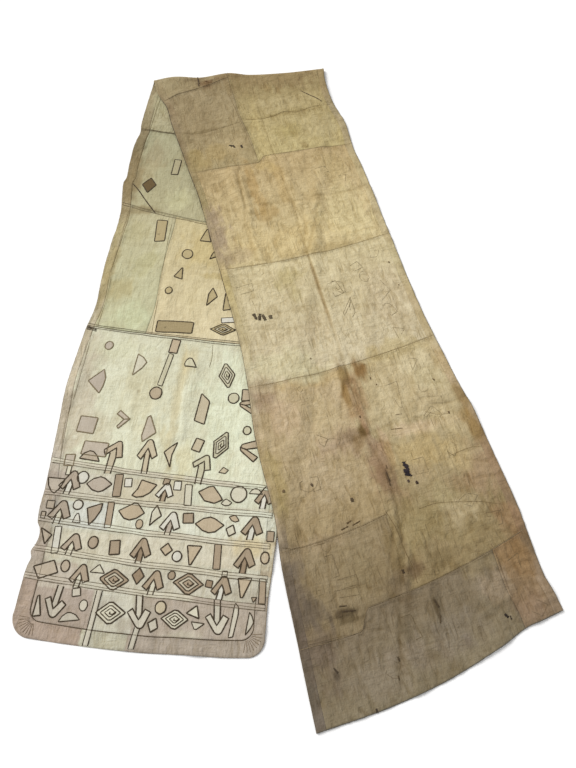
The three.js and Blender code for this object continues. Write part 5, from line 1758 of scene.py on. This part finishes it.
# Hand-sewn lines on the rear arm: lengthwise seams, border lines, and short marks
REAR_LINES_SEWN = table(
    "name on width tint places",
    ("rear_lengthwise_seam", "rear_middle_cloth", 1.3, "8b7d58",
     ((-862, -171), (-1000, -172), (-1180, -168), (-1342, -165))),
    ("rear_short_seam", "rear_field_cloth", 1.4, "84785a", ((-1372, 46), (-1420, 48), (-1456, 44))),
    ("rear_border_line_end", "rear_end_cloth", 1.4, "75674f",
     ((-2165, -342), (-2120, -341), (-2060, -343))),
    ("rear_border_line_field", "rear_field_cloth", 1.3, "94866a",
     ((-1808, -362), (-1684, -378), (-1560, -368), (-1440, -366), (-1330, -366))),
    ("rear_border_line_middle", "rear_middle_cloth", 1.2, "a09069",
     ((-1318, -352), (-1200, -345), (-1060, -350), (-900, -346), (-786, -343))),
    ("rear_border_line_top", "rear_top_cloth", 1.3, "85754f",
     ((-770, -343), (-662, -352), (-500, -350), (-376, -341))),
    ("rear_border_line_fold", "fold_cloth", 1.3, "85754f",
     ((-350, -339), (-262, -333), (-176, -327), (-80, -322))),
    ("rear_dark_arc", "rear_top_cloth", 4.6, "3f301c",
     ((-664, -354), (-688, -332), (-744, -290), (-812, -240))),
)
for number, row in enumerate(REAR_LINES_SEWN):
    line = wavering(drawn(row["places"], curve=True), amount=0.8, seed=number + 90)
    sew_line(row, -1, line, height=1.0, uneven=0.2, sink=-0.1)

# The knob of thread at the left end of the seam above the field, and pale bars over the binding
KNOB_PLACES = np.array([(-1330, -386), (-1334, -366), (-1337, -352)])
knob = Sewn("rear_seam_knot", -1)
for shift in (-5, 0, 5):
    knob.sweep(drawn(KNOB_PLACES + np.array([shift, 0]), step=4.0), thread_section(width=3.4, height=1.9),
               linear(INK), uneven=0.25)
knob.finish(STITCH_RAFFIA, "rear_field_cloth")

binding_work = Sewn("end_binding_bars", -1)
binding_threads = Sewn("end_binding_stitches", -1)
BINDING_BARS = (((-2298, -178), (-2160, -168)), ((-2298, -58), (-2246, -50)))
for bar in BINDING_BARS:
    places = drawn(bar)
    binding_work.sweep(places, tape_section(width=13, height=1.0), linear(TONES["bone"]))
    for shift in (-7, 7):
        binding_threads.sweep(places + np.array([0, shift]), thread_section(width=2.4, height=1.4),
                              linear(INK), uneven=0.15, sink=-0.8)
binding_threads.sweep(wavering(binding_inner_line(), amount=1.0, seed=33),
                      thread_section(width=2.2, height=1.1), linear("574832"), uneven=0.2, sink=-0.2)
# Fans of thin dark threads at the binding's corners: painted shade between the pleats there
PLEAT_FROM = 13
PLEAT_TO = 42
PLEAT_SHADE_LINES = table(
    "corner_along corner_across from_angle to_angle count",
    (-2240, -326, 175, 275, 9), (-2248, 240, -95, 5, 9),
)
for fan in PLEAT_SHADE_LINES:
    for number in range(fan["count"]):
        angle = math.radians(lerp(fan["from_angle"], fan["to_angle"], number / (fan["count"] - 1)))
        run = np.array([math.sin(angle), math.cos(angle)])
        start = np.array([fan["corner_along"], fan["corner_across"]], float)
        places = drawn((start + run * PLEAT_FROM, start + run * PLEAT_TO))
        binding_threads.sweep(places, thread_section(width=1.5, height=0.7), linear("7f6c54"), uneven=0.3,
                              sink=-0.1)
binding_work.finish(APPLIED_RAFFIA, "end_binding_cloth")
binding_threads.finish(STITCH_RAFFIA, "end_binding_cloth")


# Seams, traces and mends of the front arm

FRONT_SEAMS = table(
    "name seam first last width tint on",
    ("fold_seam_stitches", "foldFront", -0.043, 0.41, 1.8, "7d6b4f", "front_grey_cloth"),
    ("front_yellow_seam_stitches", "frontYellow", -0.043, 1.04, 1.6, "ab976f", "front_tan_cloth"),
    ("front_tan_seam_stitches", "frontTan", -0.043, 1.04, 1.6, "b7a47a", "front_pale_cloth"),
    ("front_pale_seam_stitches", "frontPale", -0.043, 1.04, 1.6, "af9b73", "front_brown_left_cloth"),
    ("front_brown_seam_stitches", "frontBrown", -0.043, 0.455, 1.7, "938060", "front_lower_cloth"),
    ("front_lower_seam_stitches", "frontLower", -0.043, 1.04, 1.7, "86755a", "front_end_cloth"),
)
for number, row in enumerate(FRONT_SEAMS):
    line = seam_line(row["seam"], row["first"], row["last"], offset=0.0, amount=1.4, seed=number + 120)
    sew_line(row, 1, line, height=0.9, uneven=0.3, sink=0.1)

FRONT_LINES_SEWN = table(
    "name on width tint places",
    ("front_top_lengthwise_seam", "front_grey_cloth", 1.5, "806d49",
     ((108, -74), (220, -64), (357, -54), (505, -42))),
    ("front_strip_line", "front_yellow_cloth", 1.3, "8f7c4f",
     ((195, 27), (300, 30), (420, 28), (508, 28))),
    ("front_wavy_right", "front_yellow_cloth", 1.6, "7d6840",
     ((281, -36), (291, 30), (284, 84), (272, 133), (286, 183), (272, 253), (276, 332))),
    ("front_wavy_left", "front_grey_cloth", 1.2, "82704e",
     ((298, -331), (310, -270), (315, -217), (302, -122), (292, -66))),
    ("front_dark_arc", "front_yellow_cloth", 4.6, "43321e",
     ((161, 234), (180, 250), (206, 272), (252, 303))),
    ("front_patch_seam", "front_end_patch_cloth", 1.5, "6f5a42",
     ((2150, 252), (2200, 254), (2262, 250), (2366, 246))),
    ("front_yellow_patch_top", "front_brown_right_cloth", 1.2, "8e7850",
     ((1877, 238), (1868, 300), (1873, 344))),
    ("front_left_low_seam", "front_lower_cloth", 1.3, "6a583a",
     ((2021, -320), (2030, -272), (2034, -201))),
    ("front_end_left_seam", "front_end_cloth", 1.2, "5f4f38", ((2275, -316), (2276, -216), (2285, -172))),
    # a dark thread along the crease at the right: painted shade of that fold
    ("front_right_fold_mark", "front_brown_right_cloth", 1.2, "7a6644",
     ((2007, 90), (2006, 158), (2031, 266), (2054, 325))),
    ("front_centre_streak", "front_brown_right_cloth", 1.6, "6f5a38",
     ((1990, -8), (2040, 4), (2100, 8), (2160, 16), (2200, 14))),
    ("front_centre_streak_left", "front_brown_right_cloth", 1.3, "7a6542",
     ((1996, -14), (2060, -10), (2130, -14), (2196, -22))),
    ("front_crosswise_mark", "front_brown_right_cloth", 1.1, "8a7550",
     ((1722, 216), (1742, 252), (1748, 290))),
)
for number, row in enumerate(FRONT_LINES_SEWN):
    line = wavering(drawn(row["places"], curve=True), amount=0.9, seed=number + 140)
    sew_line(row, 1, line, height=0.8, uneven=0.3, sink=0.1)

# Stitches of the worked face that show through on the reverse of each sheet: kind, place, size and turn
TRACE_COLUMNS = "kind along across width height turn"
TRACES = {
    "front_brown_left_cloth": table(
        TRACE_COLUMNS,
        ("circle", 1858, -199, 56, 44, 12), ("rect", 1862, -180, 24, 40, 0),
        ("kite", 1735, -123, 40, 46, 0), ("wing", 1750, -90, 40, 40, 40),
        ("circle", 1553, -144, 14, 20, 0),
    ),
    "front_brown_right_cloth": table(
        TRACE_COLUMNS,
        ("chevron", 1728, 237, 40, 60, 80), ("leaf", 1859, 252, 34, 44, 0),
        ("rect", 1885, 139, 38, 44, 0), ("tipped", 1546, 238, 44, 40, 30),
        ("slim", 1646, 150, 54, 96, 10), ("circle", 1640, 240, 30, 34, 0),
        ("rect", 1690, 262, 44, 24, -12), ("wing", 2018, 240, 60, 40, 30),
        ("chevron", 2080, 300, 44, 50, 40),
    ),
    "front_end_cloth": table(
        TRACE_COLUMNS,
        ("rect", 2300, -40, 30, 60, 10), ("leaf", 2385, -120, 44, 40, 0),
    ),
    "front_end_patch_cloth": table(
        TRACE_COLUMNS,
        ("diamond", 2340, 306, 50, 44, 0), ("triangle", 2215, 300, 40, 34, 20),
    ),
    "front_lower_cloth": table(
        TRACE_COLUMNS,
        ("circle", 2043, -200, 26, 32, 0), ("bar", 2100, -198, 20, 60, 4),
        ("rect", 2150, -168, 56, 26, 0), ("bar", 2176, -178, 60, 20, -6),
    ),
    "front_pale_cloth": table(
        TRACE_COLUMNS,
        ("rect", 1125, 179, 34, 30, 20), ("rect", 1200, 80, 34, 58, 14),
        ("lozenge", 1193, 91, 44, 66, 30), ("circle", 1196, 90, 14, 18, 0),
        ("chevron", 1288, 104, 84, 40, 70), ("circle", 1175, 193, 34, 44, 0),
        ("tipped", 1244, 242, 44, 84, 6), ("triangle", 1420, 240, 50, 34, 96),
        ("rect", 1130, -230, 60, 34, 4), ("wing", 1330, 240, 40, 54, 0), ("leaf", 1087, 262, 44, 26, 20),
    ),
    "front_tan_cloth": table(
        TRACE_COLUMNS,
        ("rect", 640, 190, 46, 30, 12), ("triangle", 700, 262, 36, 40, 0),
    ),
}
TRACE_SECTION = thread_section(width=1.5, height=0.7)
TRACE_WOBBLE = 0.08
TRACE_LENGTHS = (0.6, 0.92)
TRACE_WEAR = 0.55
TRACE_DARKER = 0.84
TRACE_SEED = 7
for cloth, rows in TRACES.items():
    traces = Sewn(cloth.replace("_cloth", "_traces"), 1)
    rng = np.random.default_rng(len(cloth) + TRACE_SEED)
    for trace in rows:
        for shape in SHAPES[trace["kind"]]:
            wobbly = shape + rng.uniform(-TRACE_WOBBLE, TRACE_WOBBLE, shape.shape)
            line = drawn(placed(wobbly, trace), closed=True)
            kept = line[: round(len(line) * rng.uniform(*TRACE_LENGTHS))]
            own = tint_at(kept[:1, 0], kept[:1, 1], WORN_INK, WORN_INK, np.zeros(1))[0]
            shade = lerp(linear(WORN_INK), own, TRACE_WEAR)
            traces.sweep(kept, TRACE_SECTION, shade * TRACE_DARKER, uneven=0.35, sink=0.1)
    traces.finish(STITCH_RAFFIA, cloth)

# Dark mends, knots and stitches of each sheet: place, length, width, turn in degrees and tint
MEND_COLUMNS = "along across length width turn tint"
MENDS = {
    "fold_cloth": table(
        MEND_COLUMNS,
        (-30, -184, 20, 4.5, 4, "4f3c26"), (2, -185, 34, 5.5, 2, "463522"),
        (26, -187, 16, 4.5, 0, "4b3924"), (12, -152, 9, 6, 70, "6f5334"), (24, -138, 22, 4, 60, "7a5e3c"),
    ),
    "front_brown_left_cloth": table(
        MEND_COLUMNS,
        (1863, -190, 10, 7, 20, "5a4a36"), (1933, -90, 12, 10, 0, "554631"),
        (1862, -276, 9, 8, 0, "6a573c"), (1995, -118, 16, 4, 108, "5f4c30"),
    ),
    "front_brown_right_cloth": table(
        MEND_COLUMNS,
        (1867, 96, 12, 13, 0, "2a2226"), (1875, 99, 11, 12, 30, "30272a"),
        (1890, 90, 12, 12, 20, "2c2428"), (1887, 99, 11, 10, 0, "33292d"),
        (1899, 95, 15, 15, -20, "221b20"), (1904, 101, 9, 9, 30, "2c2327"), (1922, 90, 8, 7, 0, "4a3c33"),
        (1932, 112, 10, 9, 0, "3d2e24"), (1896, 33, 30, 4, 4, "4a3a28"), (1918, 30, 10, 4, 0, "4f3f2a"),
        (1866, 38, 10, 4, 0, "5c4930"), (1568, 87, 7, 5, 0, "6a553a"), (1594, 99, 5, 4, 0, "775f42"),
        (1623, 284, 9, 5, 30, "6f5b3c"), (1744, 288, 8, 5, 0, "6b563a"), (1690, 12, 7, 5, 0, "5f4a2c"),
        (1711, 132, 22, 2.4, 86, "6d5738"), (1755, 112, 34, 2.4, 80, "6d5738"),
    ),
    "front_end_cloth": table(
        MEND_COLUMNS,
        (2337, 216, 12, 8, 30, "2a2119"), (2344, 224, 9, 4, 0, "35291d"), (2262, 44, 22, 5, 20, "4b3c28"),
        (2300, 40, 20, 4, -20, "52432d"), (2350, -264, 14, 5, 30, "463a2a"),
        (2460, -190, 10, 6, 0, "41362a"), (2364, -98, 12, 5, 10, "4c3f2d"),
        (2406, -112, 10, 4, 0, "54462f"),
    ),
    "front_grey_cloth": table(
        MEND_COLUMNS,
        (420, -128, 18, 8, 60, "3a2d1d"), (427, -118, 14, 7, 20, "40311e"),
        (433, -88, 17, 9, 10, "372a1a"),
    ),
    "front_lower_cloth": table(
        MEND_COLUMNS,
        (2008, -134, 22, 4, 104, "57452b"), (2003, -98, 24, 4, 106, "57452b"),
        (2222, -188, 34, 5, 84, "453724"), (2206, -200, 20, 4, 80, "4e3f2a"),
        (2162, -14, 10, 7, 0, "40321f"),
    ),
    "front_pale_cloth": table(
        MEND_COLUMNS,
        (1250, -220, 26, 11, 12, "554936"), (1256, -206, 27, 10, -16, "4f4431"),
        (1260, -192, 25, 10, 10, "5b4f3a"), (1263, -170, 15, 12, 0, "625640"),
        (1135, 300, 7, 5, 0, "7a6748"), (1240, 300, 6, 4, 0, "7a6748"), (1450, -80, 5, 4, 0, "7a6748"),
    ),
    "front_yellow_cloth": table(
        MEND_COLUMNS,
        (3, 4, 16, 5, 60, "4d3a24"), (14, 152, 12, 4, 80, "5a452b"), (90, 244, 26, 2.6, -16, "6b5232"),
    ),
}
MEND_STEP = 2.5
MEND_WAVER = 1.2
MEND_SEEDS = 97
FIRST_MEND_SEED = 200
MEND_HIGHEST = 1.6


def mend_height(width):
    return min(MEND_HIGHEST, 0.5 + width * 0.14)


for cloth, rows in MENDS.items():
    mends = Sewn(cloth.replace("_cloth", "_mends"), 1)
    for mend in rows:
        turn = math.radians(mend["turn"])
        half = np.array([math.cos(turn), math.sin(turn)]) * mend["length"] / 2
        centre = np.array([mend["along"], mend["across"]], float)
        seed = mend["along"] % MEND_SEEDS + FIRST_MEND_SEED
        line = wavering(drawn((centre - half, centre + half), MEND_STEP), MEND_WAVER, seed)
        section = thread_section(mend["width"], mend_height(mend["width"]))
        mends.sweep(line, section, linear(mend["tint"]), uneven=0.4)
    mends.finish(STITCH_RAFFIA, cloth)


# Overcast threads along the free edges

EDGE_INSET = 0.9
EDGE_THREADS = table(
    "name on side tint width start stop edge",
    ("rear_left_edge_thread", "rear_left_border", -1, "8a7a60", 1.8, -2240, -60, "left"),
    ("rear_right_edge_thread", "rear_right_border", -1, "8a7a60", 1.8, -2240, -100, "right"),
    ("front_left_edge_thread", "front_left_border", 1, "6b5f4a", 1.9, 60, 2466, "left"),
    ("front_right_edge_thread", "front_right_border", 1, "6d6554", 1.9, 90, 2358, "right"),
    ("front_upper_edge_mend", "front_left_border", 1, "4d412c", 3.0, 84, 740, "left"),
    ("front_middle_edge_mend", "front_left_border", 1, "5a4a30", 2.8, 1020, 1170, "left"),
)
for row in EDGE_THREADS:
    along = np.arange(row["start"], row["stop"], 6.0)
    edge = left_edge(along) + EDGE_INSET if row["edge"] == "left" else right_edge(along) - EDGE_INSET
    sew_line(row, row["side"], np.c_[along, edge], height=0.7, uneven=0.3, sink=0.2)
HEM_DARKER = 0.6
hem_thread = Sewn("front_hem_thread", 1)
hem_line = seam_line("frontEnd", -0.044, 1.044, offset=-1.0, amount=0.0, seed=1)
hem_thread.sweep(hem_line, thread_section(width=2.6, height=1.0), linear(EDGE_GREY) * HEM_DARKER,
                 uneven=0.25, sink=0.2)
hem_thread.finish(STITCH_RAFFIA, "front_end_cloth")

# Floor, light and camera

FLOOR_SIZE = 14.0
FLOOR_SHADE = 0.985
FLOOR_SPECKLE = 0.01
FLOOR_ROUGHNESS = 0.95
FLOOR_SPECULAR = 0.1
SUN_STRENGTH = 2.75
SUN_SOFTNESS = math.radians(34)
SUN_COLOUR = (1.0, 0.99, 0.985)
SUN_FROM_UP = math.radians(-52)
SUN_TURN = math.radians(-35)
WORLD_STRENGTH = 0.57


def make_floor():
    bpy.ops.mesh.primitive_plane_add(size=FLOOR_SIZE, location=(0, 0, 0))
    floor = bpy.context.object
    floor.name = "floor"
    material = bpy.data.materials.new("studio_floor")
    material.use_nodes = True
    tree = material.node_tree
    shader = tree.nodes["Principled BSDF"]
    place = tree.nodes.new("ShaderNodeTexCoord")
    speckle = noise_node(tree, place.outputs["Object"], scale=3.0, detail=3.0)
    shade = math_node(tree, "MULTIPLY_ADD", speckle, FLOOR_SPECKLE, FLOOR_SHADE)
    colour = tree.nodes.new("ShaderNodeCombineColor")
    for socket in ("Red", "Green", "Blue"):
        tree.links.new(shade, colour.inputs[socket])
    tree.links.new(colour.outputs["Color"], shader.inputs["Base Color"])
    shader.inputs["Roughness"].default_value = FLOOR_ROUGHNESS
    shader.inputs["Specular IOR Level"].default_value = FLOOR_SPECULAR
    floor.data.materials.append(material)


def make_sun():
    data = bpy.data.lights.new("window_light", "SUN")
    data.energy = SUN_STRENGTH
    data.angle = SUN_SOFTNESS
    data.color = SUN_COLOUR
    sun = bpy.data.objects.new("window_light", data)
    sun.rotation_euler = (0, SUN_FROM_UP, SUN_TURN)
    bpy.context.scene.collection.objects.link(sun)


def make_world():
    world = bpy.data.worlds.new("soft_studio")
    world.use_nodes = True
    background = world.node_tree.nodes["Background"]
    background.inputs["Color"].default_value = (1.0, 1.0, 1.0, 1.0)
    background.inputs["Strength"].default_value = WORLD_STRENGTH
    bpy.context.scene.world = world


def make_camera():
    data = bpy.data.cameras.new("photo_camera")
    data.lens = CAMERA_LENS
    data.sensor_width = CAMERA_SENSOR
    camera = bpy.data.objects.new("photo_camera", data)
    camera.location = CAMERA_AT
    camera.rotation_euler = (CAMERA_TILT, 0, 0)
    bpy.context.scene.collection.objects.link(camera)
    bpy.context.scene.camera = camera


make_floor()
make_sun()
make_world()
make_camera()
bpy.context.scene.view_settings.view_transform = "Standard"
